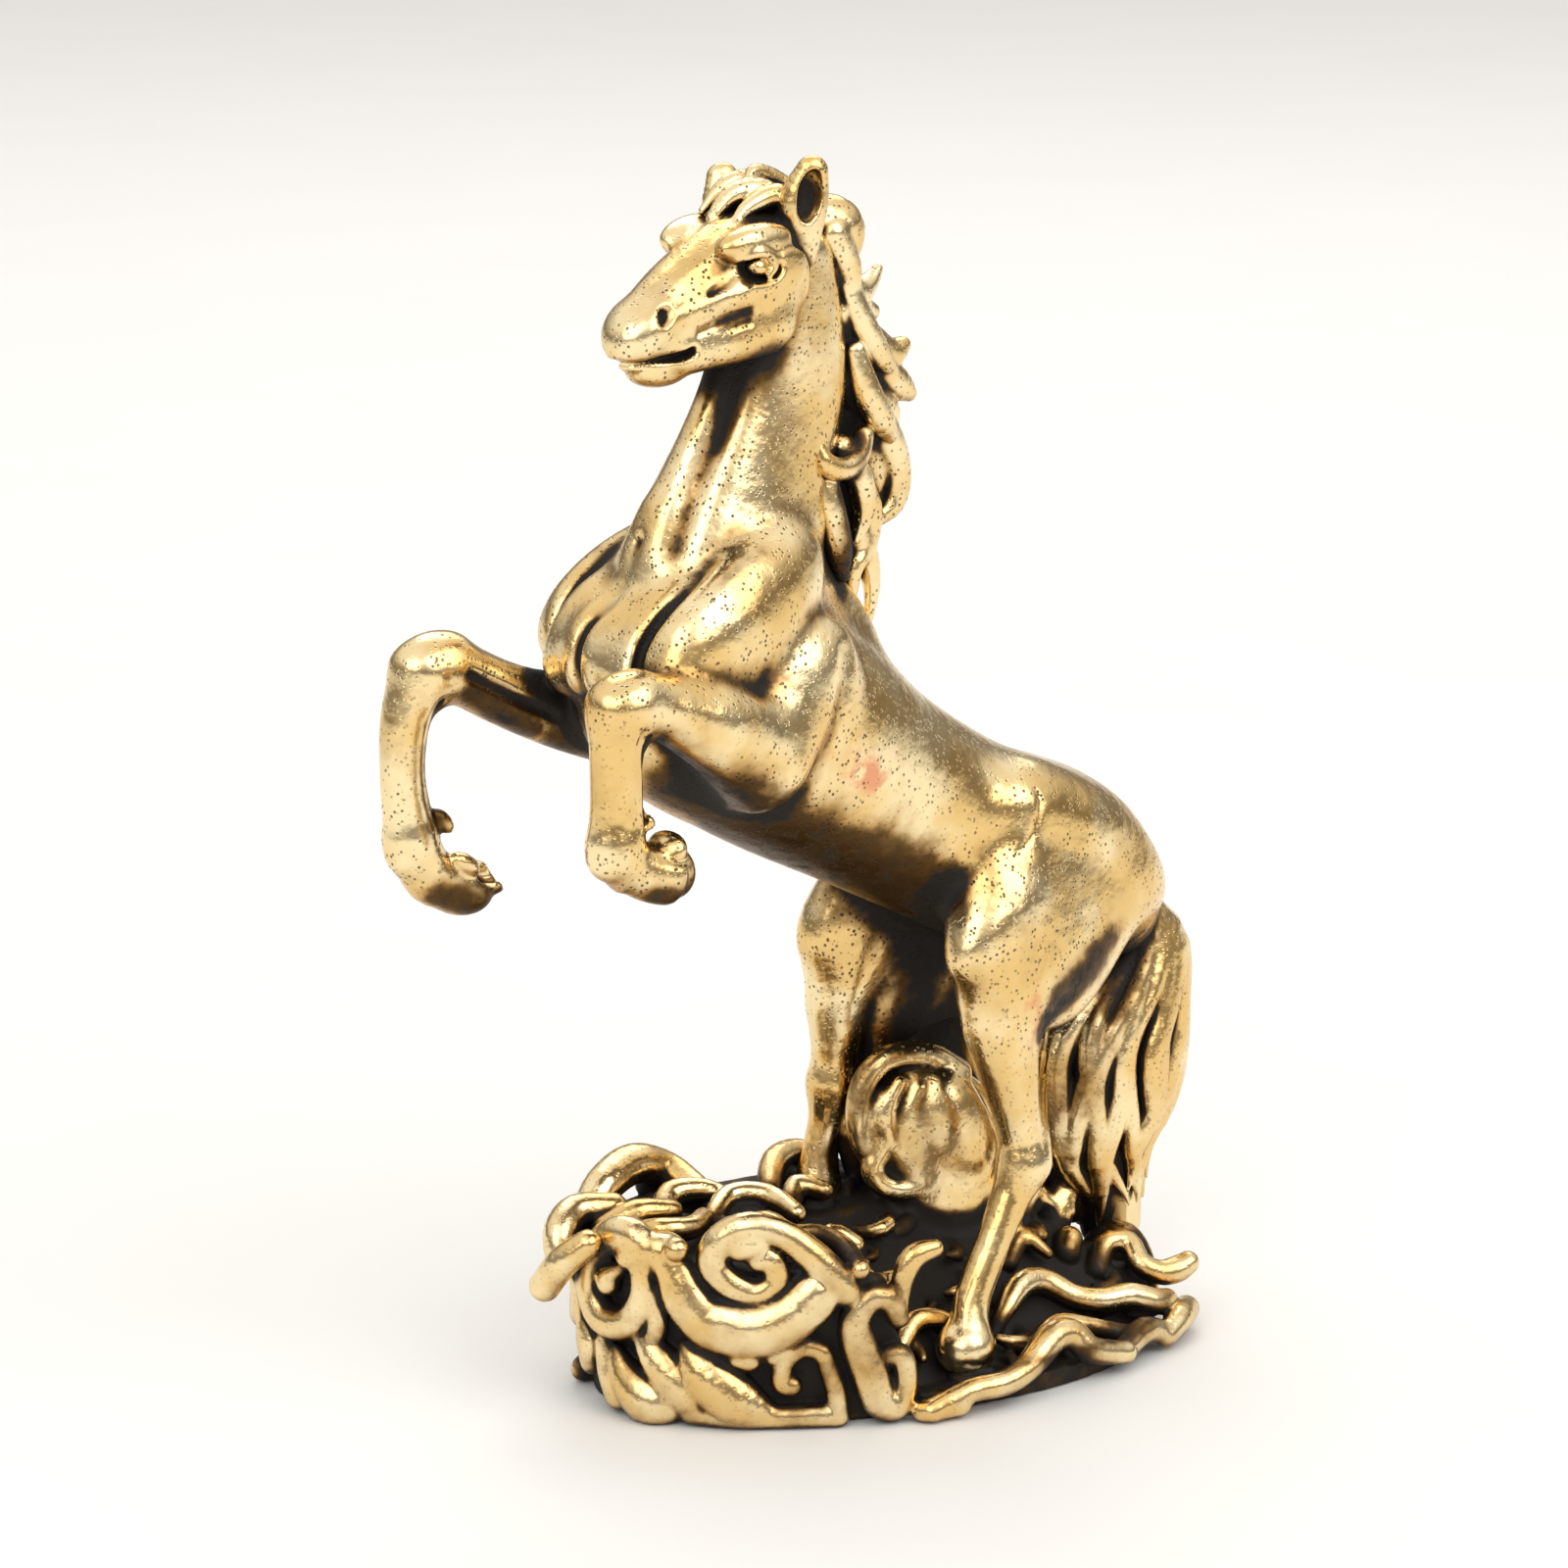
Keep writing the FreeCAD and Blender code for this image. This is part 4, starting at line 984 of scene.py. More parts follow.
# %% Mane clay
MANE = TAIL = 1
mane = Clay((-7.5, -3.6, 37.0), (3.4, 3.6, 61.0), 0.11)
mane.add(Limb([
    (-4.6, 58.8, 165, 1.1, 0.8), (-3.0, 56.0, 172, 1.1, 0.8), (-1.5, 53.0, 176, 1.4, 0.8),
    (-1.0, 49.6, 178, 1.7, 0.8), (-1.1, 46.4, 174, 2.5, 0.8), (-2.3, 42.6, 172, 1.6, 0.8),
    (-2.2, 40.2, 170, 0.9, 0.5)], 0.4), 0.5, MANE)
MANE_LOCKS = [
    [(-4.4, 0.0, 58.4, 0.9), (-3.0, -0.2, 58.0, 0.95), (-2.6, -0.4, 57.0, 0.6),
     (-3.0, -0.8, 56.2, 0.25)],
    [(-3.9, -1.0, 57.8, 0.6), (-3.0, -1.1, 56.2, 0.5), (-2.6, -1.0, 54.8, 0.3)],
    [(-3.6, -0.3, 56.2, 0.75), (-2.2, -0.4, 54.7, 0.6), (-1.0, -0.1, 54.9, 0.4),
     (-0.2, 0, 55.6, 0.18)],
    [(-3.4, -0.2, 55.6, 0.7), (-1.8, -0.1, 54.2, 0.5), (-0.6, 0, 53.6, 0.3)],
    [(-2.9, -1.0, 55.2, 0.4), (-2.0, -1.1, 53.2, 0.5), (-0.9, -1.0, 51.6, 0.45),
     (0.2, -0.6, 50.8, 0.2)],
    [(-3.2, -0.3, 54.0, 0.7), (-1.4, 0.0, 52.6, 0.7), (0.4, 0.2, 51.4, 0.6),
     (1.5, 0.2, 51.7, 0.3)],
    [(-2.8, 0.0, 53.0, 0.7), (-0.8, 0.1, 51.2, 0.7), (0.9, 0.2, 50.0, 0.6), (1.9, 0.2, 49.3, 0.3)],
    [(-2.6, 0.2, 52.0, 0.7), (-1.0, 0.2, 50.0, 0.65), (0.3, 0.2, 48.8, 0.55),
     (0.9, 0.2, 47.9, 0.25)],
    [(-2.4, -1.0, 52.0, 0.4), (-1.9, -1.2, 50.2, 0.5), (-1.0, -1.2, 48.6, 0.5),
     (0.0, -0.8, 47.6, 0.25)],
    [(-2.4, -0.2, 50.8, 0.65), (-1.0, 0, 49.0, 0.65), (0.4, 0.1, 47.2, 0.65),
     (1.2, 0.3, 45.4, 0.55),
     (1.0, 0.3, 44.0, 0.45), (-0.2, 0.2, 43.3, 0.3)],
    [(-5.4, -1.8, 47.9, 0.3), (-5.0, -2.0, 47.0, 0.4), (-3.8, -1.9, 46.6, 0.4),
     (-2.6, -1.5, 47.0, 0.4),
     (-2.0, -1.2, 47.9, 0.35)],
    [(-3.2, -1.0, 47.4, 0.5), (-2.2, -1.1, 45.8, 0.5), (-1.8, -1.0, 44.2, 0.4),
     (-2.2, -0.9, 42.8, 0.2)],
    [(-4.6, -1.3, 46.2, 0.5), (-4.4, -1.6, 44.6, 0.55), (-3.8, -1.5, 42.8, 0.5),
     (-3.3, -1.2, 41.2, 0.25)],
    [(-2.0, -0.3, 46.0, 0.5), (-0.8, 0, 44.2, 0.5), (-0.9, 0, 42.4, 0.45),
     (-1.9, -0.3, 41.2, 0.35),
     (-1.9, -0.2, 39.9, 0.2)],
    [(-1.8, 0.1, 43.0, 0.6), (-0.8, 0.1, 41.6, 0.45), (-0.5, 0, 40.0, 0.3), (-0.7, 0, 38.4, 0.16)],
]
rear_locks = [[(x, 0.6 - y, z - 0.4, r) for x, y, z, r in lock] for lock in MANE_LOCKS
              if lock[0][1] < -0.9]
for run in lay(MANE_LOCKS + rear_locks, 1.42):
    mane.add(Strand(run, 0), 0.15, MANE)
print(len(MANE_LOCKS) + len(rear_locks), "locks in the mane")

# %% [markdown]
# The tail falls in an S from the croup to the clouds. Under its strands is a solid core, as in a
# casting: a limb through the line below, whose rows are x, z, half width and half thickness.

# %% Core of the tail
CORE_SHARE = 0.72  # of the tail's full width and thickness
tail = Clay((9.6, -4.4, 2.2), (22.5, 4.4, 22.8), 0.12)
TAIL_LINE = [
    (15.4, 21.2, 0.9, 0.9), (16.7, 20.3, 1.2, 1.1), (17.8, 18.7, 2.0, 1.7), (17.1, 16.4, 3.2, 2.2),
    (15.7, 13.6, 4.8, 2.6), (15.1, 10.8, 4.7, 2.6), (14.8, 8.2, 3.7, 2.3), (15.5, 5.6, 2.8, 2.1),
    (15.8, 3.6, 2.4, 1.9)]
line = np.array(TAIL_LINE)
along = np.gradient(line[:, :2], axis=0)
along /= np.linalg.norm(along, axis=1, keepdims=True)
tail.add(Limb([(x, z, math.degrees(math.atan2(a, b)) % 360, w * CORE_SHARE, t * CORE_SHARE)
               for (x, z, w, t), (a, b) in zip(line, along)], 0.0), 0.4, TAIL)
print("the tail's core holds", tail.volume(), "mm3")

# %% [markdown]
# Strands stand round the core like the staves of a barrel and sway a little as they fall. A node
# tree copies the tail's line once for each strand, moves each copy out to its place on the oval,
# lets it sway by its own phase, and ends it at its own length, which gives the ragged tips.

# %% Strands of the tail
STAND_OUT = 0.84  # of the tail's full width and thickness, where the strands' centres run
STRAND_POINTS = 26
build, given = new_tree("tail_strands", Strands=30, Seed=5, Sway=0.45, Thickness=0.7)
curve = build.node("GeometryNodeResampleCurve", {"mode": "COUNT"},
                   Curve=smooth_curve(build, given["Geometry"]), Count=STRAND_POINTS)
copies = build.tree.nodes.new("GeometryNodeDuplicateElements")
copies.domain = "SPLINE"
build.tree.links.new(curve.link, copies.inputs["Geometry"])
build.tree.links.new(given["Strands"].link, copies.inputs["Amount"])
strand, order = Socket(build.tree, copies.outputs[0]), Socket(build.tree, copies.outputs[1])


def chance(low, high, salt):
    """A random number for each strand."""
    return build.node("FunctionNodeRandomValue", {"data_type": "FLOAT"}, 1, _2=low, _3=high,
                      ID=order, Seed=given["Seed"] + salt)


fall = build.node("GeometryNodeSplineParameter")
turn = order * (2 * math.pi) / given["Strands"] + chance(-0.1, 0.1, 1)
turn = turn + (fall * 6.9 + chance(0.0, 6.3, 2)).sine() * given["Sway"] * fall
wide, deep, across_x, across_z = (
    mark_value(build, name) for name in ("wide", "deep", "across_x", "across_z"))
out = turn.cosine() * wide * STAND_OUT
shift = build.node("ShaderNodeCombineXYZ", X=out * across_x, Y=turn.sine() * deep * STAND_OUT,
                   Z=out * across_z)
strand = build.node("GeometryNodeSetPosition", Geometry=strand, Offset=shift)
strand = build.node("GeometryNodeStoreNamedAttribute", {"data_type": "FLOAT", "domain": "POINT"},
                    Geometry=strand, Name="number", Value=order)
swell = 0.4 + 0.6 * (fall * 2.7 + 0.35).sine()
tip = ((chance(0.84, 1.02, 3) - fall) * 6.0).least(1.0).most(0.02)
thickness = swell * tip * given["Thickness"] * chance(0.9, 1.2, 4)
close_tree(build, tube_along(build, strand, thickness))
print("the strand tree has", len(build.tree.nodes), "nodes")

# %% Strands pressed into the core
THINNEST = 0.05
count = len(line)
strands = rings(*run_tree(
    build.tree, np.column_stack([line[:, 0], np.zeros(count), line[:, 1]]),
    [(i, i + 1) for i in range(count - 1)], (),
    {"wide": line[:, 2], "deep": line[:, 3], "across_x": along[:, 1], "across_z": -along[:, 0]}))
for run in strands:
    tail.add(Strand(run[run[:, 3] > THINNEST], 0), 0.1, TAIL)
print(len(strands), "strands in the tail, which holds", tail.volume(), "mm3")


# %% [markdown]
# ## The cloud base
#
# The base is an oval block, high in front and low at the left hind hoof, wrapped in cloud
# scrolls: broad bands that roll up into a bead, with deep black gaps between them. The block
# comes first, as one distance rule for its wall and its sloping deck.

# %% Block of cloud
(CLOUD, BANK, FRONT, CORNER, CURL, LADLE, REAR, RIGHT_REAR, RIGHT, RIGHT_FRONT, TOE,
 UPPER_WAVE, LOWER_WAVE, TAIL_CURL) = range(1, 15)
TURN = math.radians(-18)  # of the oval, seen from above
BLOCK_OVAL, RIM_OVAL = (14.8, 8.1), (15.3, 8.6)  # half length and half width
cloud = Clay((-20.0, -12.0, -0.4), (18.4, 12.0, 16.4), 0.165)


def deck_height(x, y):
    """Height of the deck: high in front and on the right, low at the left hind hoof."""
    left = 1.0 + np.clip((y + 6.6) / 8.2, 0, 1) * 6.6
    fallen = np.clip((x + 5.6) / 2.6, 0, 1)
    deck = np.minimum(7.9, left * fallen + 7.9 * (1 - fallen))
    rear = np.where(x < 7, 8.0, np.where(x < 12.5, 8.0 - (x - 7) * 0.85, 3.3))
    return np.minimum(deck, rear)


def to_oval(x, y, oval):
    """A place in the oval's own directions, as shares of its half length and half width."""
    return ((x * math.cos(TURN) + y * math.sin(TURN)) / oval[0],
            (y * math.cos(TURN) - x * math.sin(TURN)) / oval[1])


def from_oval(u, v):
    """A place or direction in the oval's own directions, back in the horse's."""
    return u * math.cos(TURN) - v * math.sin(TURN), u * math.sin(TURN) + v * math.cos(TURN)


class Block:
    """The oval block under the clouds, with its falling deck."""

    low, high = np.array([-17.5, -11.0, 0.0]), np.array([17.5, 11.0, 11.0])

    def distance(self, x, y, z, reach):
        long, wide = BLOCK_OVAL
        u, v = to_oval(x, y, BLOCK_OVAL)
        q = np.sqrt(u * u + v * v) + 1e-6
        wall = q * (q - 1) / np.sqrt((u / long) ** 2 + (v / wide) ** 2 + TINY)
        top = (z - deck_height(x, y)) * 0.75
        return np.maximum(np.maximum(wall, top), -z).astype(np.float32) + 0 * z


cloud.add(Block(), 0.3, CLOUD)
cloud.raised = np.full(cloud.size, FAR, np.float32)
print("the block of", cloud.size, "voxels holds", cloud.volume(), "mm3")

# %% [markdown]
# On the wall a band is laid by its angle round the oval, its height and its radius, so it can be
# drawn flat, as on paper, and still hug the curve. The front carries the big spiral, the corner
# scroll and the ladle. Plain scrolls go round the rear. Each row starts with the owning casting.

# %% Scrolls on the wall
BAND_SQUASH = 1.12  # how much thinner a band is across the wall than along it


def rim(angle, z, radius):
    """A point of a band on the wall, by its angle round the oval and its height."""
    at = math.radians(angle)
    return (*from_oval(RIM_OVAL[0] * math.cos(at), RIM_OVAL[1] * math.sin(at)), z, radius)


WALL = [
    (FRONT, [(-108, 7.0, .7), (-111, 7.9, .8), (-115, 9.0, .75), (-120, 10.0, .65),
             (-127, 10.4, .7),
             (-133, 9.7, .75), (-135, 8.5, .75), (-131, 7.4, .7), (-125.5, 7.0, .65),
             (-121.5, 7.7, .6), (-122.6, 8.7, .6), (-125, 8.7, .55)]),
    (FRONT, [(-148, 8.9, .7), (-144, 7.9, .9), (-141, 6.6, 1.1), (-136, 5.4, 1.15),
             (-129, 4.8, 1.1),
             (-122.5, 4.9, 1.0), (-117.5, 5.6, .9), (-113.5, 6.3, .75), (-110.5, 7.2, .6)]),
    (FRONT, [(-136, 5.9, 0.9), (-131, 5.4, 1.2), (-125, 5.3, 1.3), (-119, 5.9, 1.2),
             (-114.5, 7.0, 1.0)]),
    (FRONT, [(-129, 9.4, .7), (-126, 9.6, .7)]),
    (FRONT, [(-137, 4.4, .6), (-135, 4.0, .6)]), (FRONT, [(-129.5, 3.8, .7), (-127.5, 3.7, .7)]),
    (FRONT, [(-122, 3.9, .6), (-120, 4.1, .6)]),
    (CORNER, [(-157, 8.5, .8), (-153, 8.8, .8), (-148, 8.9, .75)]),
    (CORNER, [(-152, 8.0, .6), (-154.5, 9.2, .8), (-162, 9.3, .8), (-171, 8.1, .8),
              (-175, 6.2, .8),
              (-169, 4.7, .8), (-158.5, 4.8, .75), (-153, 6.3, .7), (-153.5, 7.9, .6)]),
    (CORNER, [(-160.5, 7.6, .3), (-166, 7.0, .6), (-166, 6.6, .6)]),
    (CORNER, [(-150, 6.6, .5), (-149, 5.0, .5), (-152, 3.6, .45)]),
    (CURL, [(-112.5, 3.9, .45), (-116.5, 4.2, .5), (-120, 3.4, .5), (-120.5, 2.4, .5),
            (-118.6, 2.2, .5)]),
    (CURL, [(-112.0, 3.6, .45), (-110, 1.9, .5), (-109.4, .5, .5)]),
    (LADLE, [(-98, 5.4, .5), (-100, 6.4, .6), (-103.5, 6.5, .65), (-106.3, 5.4, .7),
             (-105.6, 4.2, .8),
             (-103.6, 2.8, .85), (-101.5, 1.3, .85), (-98.2, 1.0, .75), (-96.6, 2.2, .6),
             (-97.4, 3.4, .55), (-99.4, 3.5, .5)]),
    (CLOUD, [(-163, 3.2, .3), (-159, 2.0, .8), (-152, 1.1, 1.2), (-147, .8, .8)]),
    (CLOUD, [(-154, 4.2, .4), (-148, 3.0, .9), (-142.5, 1.8, 1.0), (-139, 1.0, .6)]),
    (CLOUD, [(-141.5, 4.0, .4), (-137, 2.8, 1.1), (-131, 1.6, 1.2), (-124, .8, .6)]),
    (CLOUD, [(-140, .7, .6), (-130, .6, .6), (-120, .6, .55), (-111, .6, .55)]),
    (CLOUD, [(-179, 4.2, .6), (-176, 3.2, .8), (-176, 2.0, .6)]),
    (CLOUD, [(-168, 3.4, .5), (-166, 2.0, .6), (-162, .9, .7)]),
    (RIGHT_REAR, [(46, 1.4, .7), (52, 3.4, .9), (60, 5.0, .9), (68, 4.8, .9), (73, 3.2, .8),
                  (69, 1.8, .8), (62, 1.8, .7), (60, 3.0, .65)]),
    (RIGHT, [(84, 1.6, .7), (89, 4.2, .9), (96, 6.0, .9), (104, 6.0, .9), (109, 4.2, .8),
             (105, 2.6, .8), (98, 2.7, .7), (96.5, 4.0, .65)]),
    (RIGHT_FRONT, [(120, 2.2, .7), (124, 4.8, .9), (132, 6.6, .9), (140, 6.4, .9), (145, 4.6, .8),
                   (140, 3.2, .8), (133, 3.6, .7), (133, 4.9, .65)]),
    (TOE, [(157, 3.6, .7), (161, 5.9, .8), (169, 7.4, .85), (177, 6.6, .8), (179, 4.9, .8),
           (173, 4.0, .7), (167, 4.8, .65)]),
    (REAR, [(4, 1.0, .6), (9, 2.6, .8), (16, 3.6, .85), (24, 3.2, .8), (27, 2.0, .7),
            (21, 1.3, .65),
            (17, 2.0, .6)]),
    (CLOUD, [(30, 1.0, .7), (38, 2.6, .8), (46, 4.0, .7)]),
    (CLOUD, [(74, 1.0, .7), (80, 3.0, .8), (86, 6.6, .8), (94, 7.8, .7)]),
    (CLOUD, [(108, 1.0, .7), (114, 3.2, .8), (120, 6.6, .8), (130, 8.3, .7)]),
    (CLOUD, [(144, 1.2, .7), (152, 3.0, .8), (156, 6.8, .8), (164, 9.0, .7)]),
    (CLOUD, [(46, .7, .6), (80, .6, .6), (110, .6, .6), (140, .6, .6), (168, .7, .6)]),
    (CLOUD, [(-98, 5.8, .4), (-97.2, 7.4, .5), (-95, 8.5, .55), (-91, 8.8, .4)]),
]
wall_runs = lay([[rim(*mark) for mark in band] for _, band in WALL], 1.12)
for (owner, band), run in zip(WALL, wall_runs):
    middle = math.radians(np.mean([angle for angle, _, _ in band]))
    outward = from_oval(math.cos(middle) / RIM_OVAL[0], math.sin(middle) / RIM_OVAL[1])
    cloud.add(Strand(run, 0, flat=(*outward, 0), squash=BAND_SQUASH), 0.18, owner)
print(len(WALL), "bands on the wall, and", cloud.volume(), "mm3 in all")

# %% [markdown]
# Bands on the deck, on the low side and behind the tail are laid by plain places, because the
# deck has no simple rule of its own to follow. They rise and dip a little along their length.

# %% Scrolls on the deck and on the low side
DECK = [
    (CLOUD, [(-15.9, 5.0, 7.4, .8), (-15.6, 5.5, 8.6, .85), (-14.2, 6.1, 9.2, .85),
             (-12.4, 5.5, 9.1, .8)]),
    (CLOUD, [(9.4, 2.0, 6.4, .9), (10.4, 1.2, 7.6, 1.0), (11.6, 1.6, 6.4, .9)]),
    (CLOUD, [(8.6, -0.6, 5.6, .8), (9.8, -0.2, 7.0, .8), (10.8, 0.2, 5.8, .8)]),
    (CLOUD, [(11.2, -0.6, 4.6, .9), (12.4, 0.0, 6.2, 1.0), (13.4, 0.4, 5.0, .9)]),
    (CLOUD, [(12.6, 1.6, 4.2, .9), (13.2, 0.9, 6.0, .9), (14.4, 0.4, 4.6, .9)]),
    (TOE, [(-17.2, 4.6, 6.4, .8), (-17.0, 3.4, 7.9, .8), (-16.2, 2.4, 9.0, .7)]),
    (CLOUD, [(-12.6, 7.4, 8.2, .9), (-11.2, 7.9, 9.4, 1.0), (-8.8, 8.7, 9.8, 1.05),
             (-6.9, 8.4, 9.2, .9),
             (-6.6, 6.4, 8.6, .8)]),
    (CLOUD, [(-12.4, 3.5, 8.5, .5), (-12.2, 1.8, 9.0, .6), (-10.6, 1.5, 8.8, .6),
             (-9.1, 2.4, 8.8, .5)]),
    (CLOUD, [(-8.7, 2.4, 8.4, .5), (-6.6, 3.6, 9.0, .6), (-5.0, 2.6, 9.0, .6),
             (-4.8, .4, 8.6, .5)]),
    (CLOUD, [(-8.6, .7, 8.4, .5), (-7.2, -.2, 8.9, .55), (-7.2, -2.2, 8.8, .5),
             (-5.8, -2.6, 8.6, .5),
             (-5.5, -4.2, 8.4, .5), (-6.6, -6.9, 8.2, .5)]),
    (CLOUD, [(-14.2, 1.6, 8.4, .6), (-13.2, .2, 9.0, .6), (-13.6, -1.4, 9.2, .6)]),
    (CLOUD, [(-11.4, -1.2, 8.4, .5), (-10.2, -2.2, 8.9, .5), (-10.8, -3.6, 9.0, .5)]),
    (CLOUD, [(-9.8, 4.8, 8.2, .6), (-8.6, 5.8, 8.9, .7), (-7.0, 5.2, 9.0, .6),
             (-6.2, 4.2, 8.6, .5)]),
    (CLOUD, [(-13.6, 4.6, 8.6, .6), (-12.0, 4.0, 9.2, .7), (-10.2, 3.6, 9.0, .6)]),
    (CLOUD, [(-4.4, -1.2, 6.6, .5), (-3.2, -0.4, 7.4, .55), (-2.2, -1.0, 6.8, .5)]),
    (CLOUD, [(-2.6, -5.2, 2.8, .5), (-1.2, -4.6, 3.6, .55), (0.2, -4.9, 3.4, .5),
             (1.0, -5.8, 2.6, .4)]),
    (CLOUD, [(6.4, -2.8, 4.4, .5), (7.6, -2.2, 5.2, .55), (9.0, -2.0, 5.0, .5)]),
    (CLOUD, [(4.6, -7.2, 1.8, .5), (6.4, -6.6, 2.2, .55), (8.2, -7.2, 1.8, .5),
             (9.6, -8.0, 1.4, .4)]),
    (CLOUD, [(-3.0, 5.0, 8.2, .6), (-1.4, 6.6, 8.9, .7), (.6, 7.4, 8.8, .7), (1.8, 6.6, 8.4, .6)]),
    (CLOUD, [(-3.6, 2.4, 8.0, .5), (-2.4, 3.4, 8.7, .6), (-1.6, 2.2, 8.6, .5)]),
    (CLOUD, [(2.6, 2.1, 7.0, .45), (3.6, 1.9, 7.6, .5), (4.7, 1.5, 7.3, .5), (4.5, .6, 6.6, .4)]),
    (CLOUD, [(.2, .4, 6.0, .4), (1.6, 0, 6.5, .45), (2.9, .7, 6.6, .4)]),
    (CLOUD, [(-3.4, -3.6, 4.4, .4), (-2.0, -2.8, 5.2, .5), (-.4, -2.6, 5.2, .4)]),
    (CLOUD, [(-3.6, -8.2, .5, .6), (-2.0, -8.9, .8, .7)]),
    (LOWER_WAVE, [(-3.4, -8.6, .6, .6), (-1.4, -9.1, 1.3, .6), (.6, -9.3, 1.3, .65),
                  (2.4, -9.1, 1.7, .7),
                  (4.4, -8.6, 2.6, .8), (5.6, -8.7, 2.5, .75), (6.4, -9.2, 1.6, .7),
                  (8.6, -9.3, 1.0, .6)]),
    (UPPER_WAVE, [(3.2, -5.4, 2.0, .3), (4.4, -5.0, 3.1, .55), (5.9, -4.4, 3.8, .7),
                  (7.4, -4.4, 3.6, .7),
                  (8.6, -5.3, 2.8, .65), (9.8, -6.2, 2.6, .65), (11.2, -6.6, 2.6, .7),
                  (12.6, -7.0, 2.1, .7), (13.8, -6.6, 1.8, .6)]),
    (TAIL_CURL, [(11.3, -4.0, 3.2, .6), (12.4, -3.4, 4.2, .6), (13.5, -3.9, 4.2, .6),
                 (13.4, -5.0, 3.4, .6),
                 (14.2, -5.6, 2.9, .65), (15.2, -5.8, 2.9, .7), (15.8, -6.0, 3.2, .6)]),
    (CLOUD, [(10.2, -2.9, 4.2, .75), (10.6, -2.6, 4.6, .75)]),
    (CLOUD, [(7.3, -1.8, 5.2, .3), (8.0, -2.5, 5.2, .4), (8.6, -3.3, 4.5, .3)]),
    (CLOUD, [(9.2, -.6, 5.6, .5), (10.6, -.2, 6.2, .6), (12.0, -.8, 5.4, .5)]),
    (CLOUD, [(11.0, 2.6, 5.6, .6), (12.6, 3.0, 5.4, .7), (14.0, 1.8, 4.2, .6)]),
    (CLOUD, [(12.2, -8.4, .8, .6), (13.6, -7.8, 1.2, .7), (15.2, -6.6, 1.0, .7)]),
    (CLOUD, [(8.8, -9.0, 1.0, .6), (10.6, -8.4, 1.4, .7), (12.2, -8.2, .9, .6)]),
]
for (owner, band), run in zip(DECK, lay([band for _, band in DECK])):
    cloud.add(Strand(run, 0), 0.16, owner)
print(len(DECK), "bands on the deck, and", cloud.volume(), "mm3 in all")

# %% [markdown]
# Small curls fill the deck between the big bands. Placed by hand they would take as long as all
# the rest, so a tree strews them over the deck's surface from a fixed seed, each one turned and
# sized by chance, and they are then pressed into the clay like the bands.

# %% Wisps strewn over the deck
BOW_POINTS, BOW_SWEEP = 7, math.radians(190)
build, given = new_tree("cloud_wisps", Density=0.22, Seed=4, Size=0.85)
spots = build.node("GeometryNodeDistributePointsOnFaces", {"distribute_method": "RANDOM"},
                   Mesh=given["Geometry"], Density=given["Density"], Seed=given["Seed"])
bow = build.node("GeometryNodeCurveArc", {"mode": "RADIUS"}, Resolution=BOW_POINTS, Radius=1.0,
                 Sweep_Angle=BOW_SWEEP)
along_bow = build.node("GeometryNodeSplineParameter")
curl = tube_along(build, bow, 0.22 + 0.22 * (along_bow * 2.9).sine())
spin = build.node("FunctionNodeRandomValue", {"data_type": "FLOAT_VECTOR"},
                  _0=(-0.3, -0.3, 0.0), _1=(0.3, 0.3, 2 * math.pi), Seed=given["Seed"])
size = build.node("FunctionNodeRandomValue", {"data_type": "FLOAT"}, 1, _2=0.7, _3=1.4,
                  Seed=given["Seed"])
wisps = build.node("GeometryNodeInstanceOnPoints", Points=spots, Instance=curl, Rotation=spin,
                   Scale=size * given["Size"])
close_tree(build, wisps)
print("the wisp tree has", len(build.tree.nodes), "nodes")

# %% [markdown]
# The tree needs a surface to strew on: a net of 1 mm tiles just above the deck, kept where they
# lie inside the rim.

# %% Wisps pressed into the deck
STREW_OVAL, ABOVE_DECK = (14.0, 7.4), 0.1
xs, ys = np.arange(-13.5, 14.6, 1.0), np.arange(-8.5, 8.6, 1.0)
net = [(x, y, float(deck_height(x, y)) + ABOVE_DECK) for x in xs for y in ys]
tiles = []
for i in range(len(xs) - 1):
    for j in range(len(ys) - 1):
        if sum(share ** 2 for share in to_oval(xs[i] + 0.5, ys[j] + 0.5, STREW_OVAL)) < 1:
            first = i * len(ys) + j
            tiles.append([first, first + len(ys), first + len(ys) + 1, first + 1])
curls = run_tree(build.tree, net, (), tiles)[0].reshape(-1, BOW_POINTS, SIDES, 3)
for curl in curls:
    cloud.add(Strand(ring_run(curl), 0), 0.2, CLOUD)
print(len(curls), "wisps on the deck")

# %% [markdown]
# A tall curl of cloud stands between the hind legs and steadies them. It is a core of stacked
# ovals with bands wound over its front and its back, and two eggs that swell between the bands.

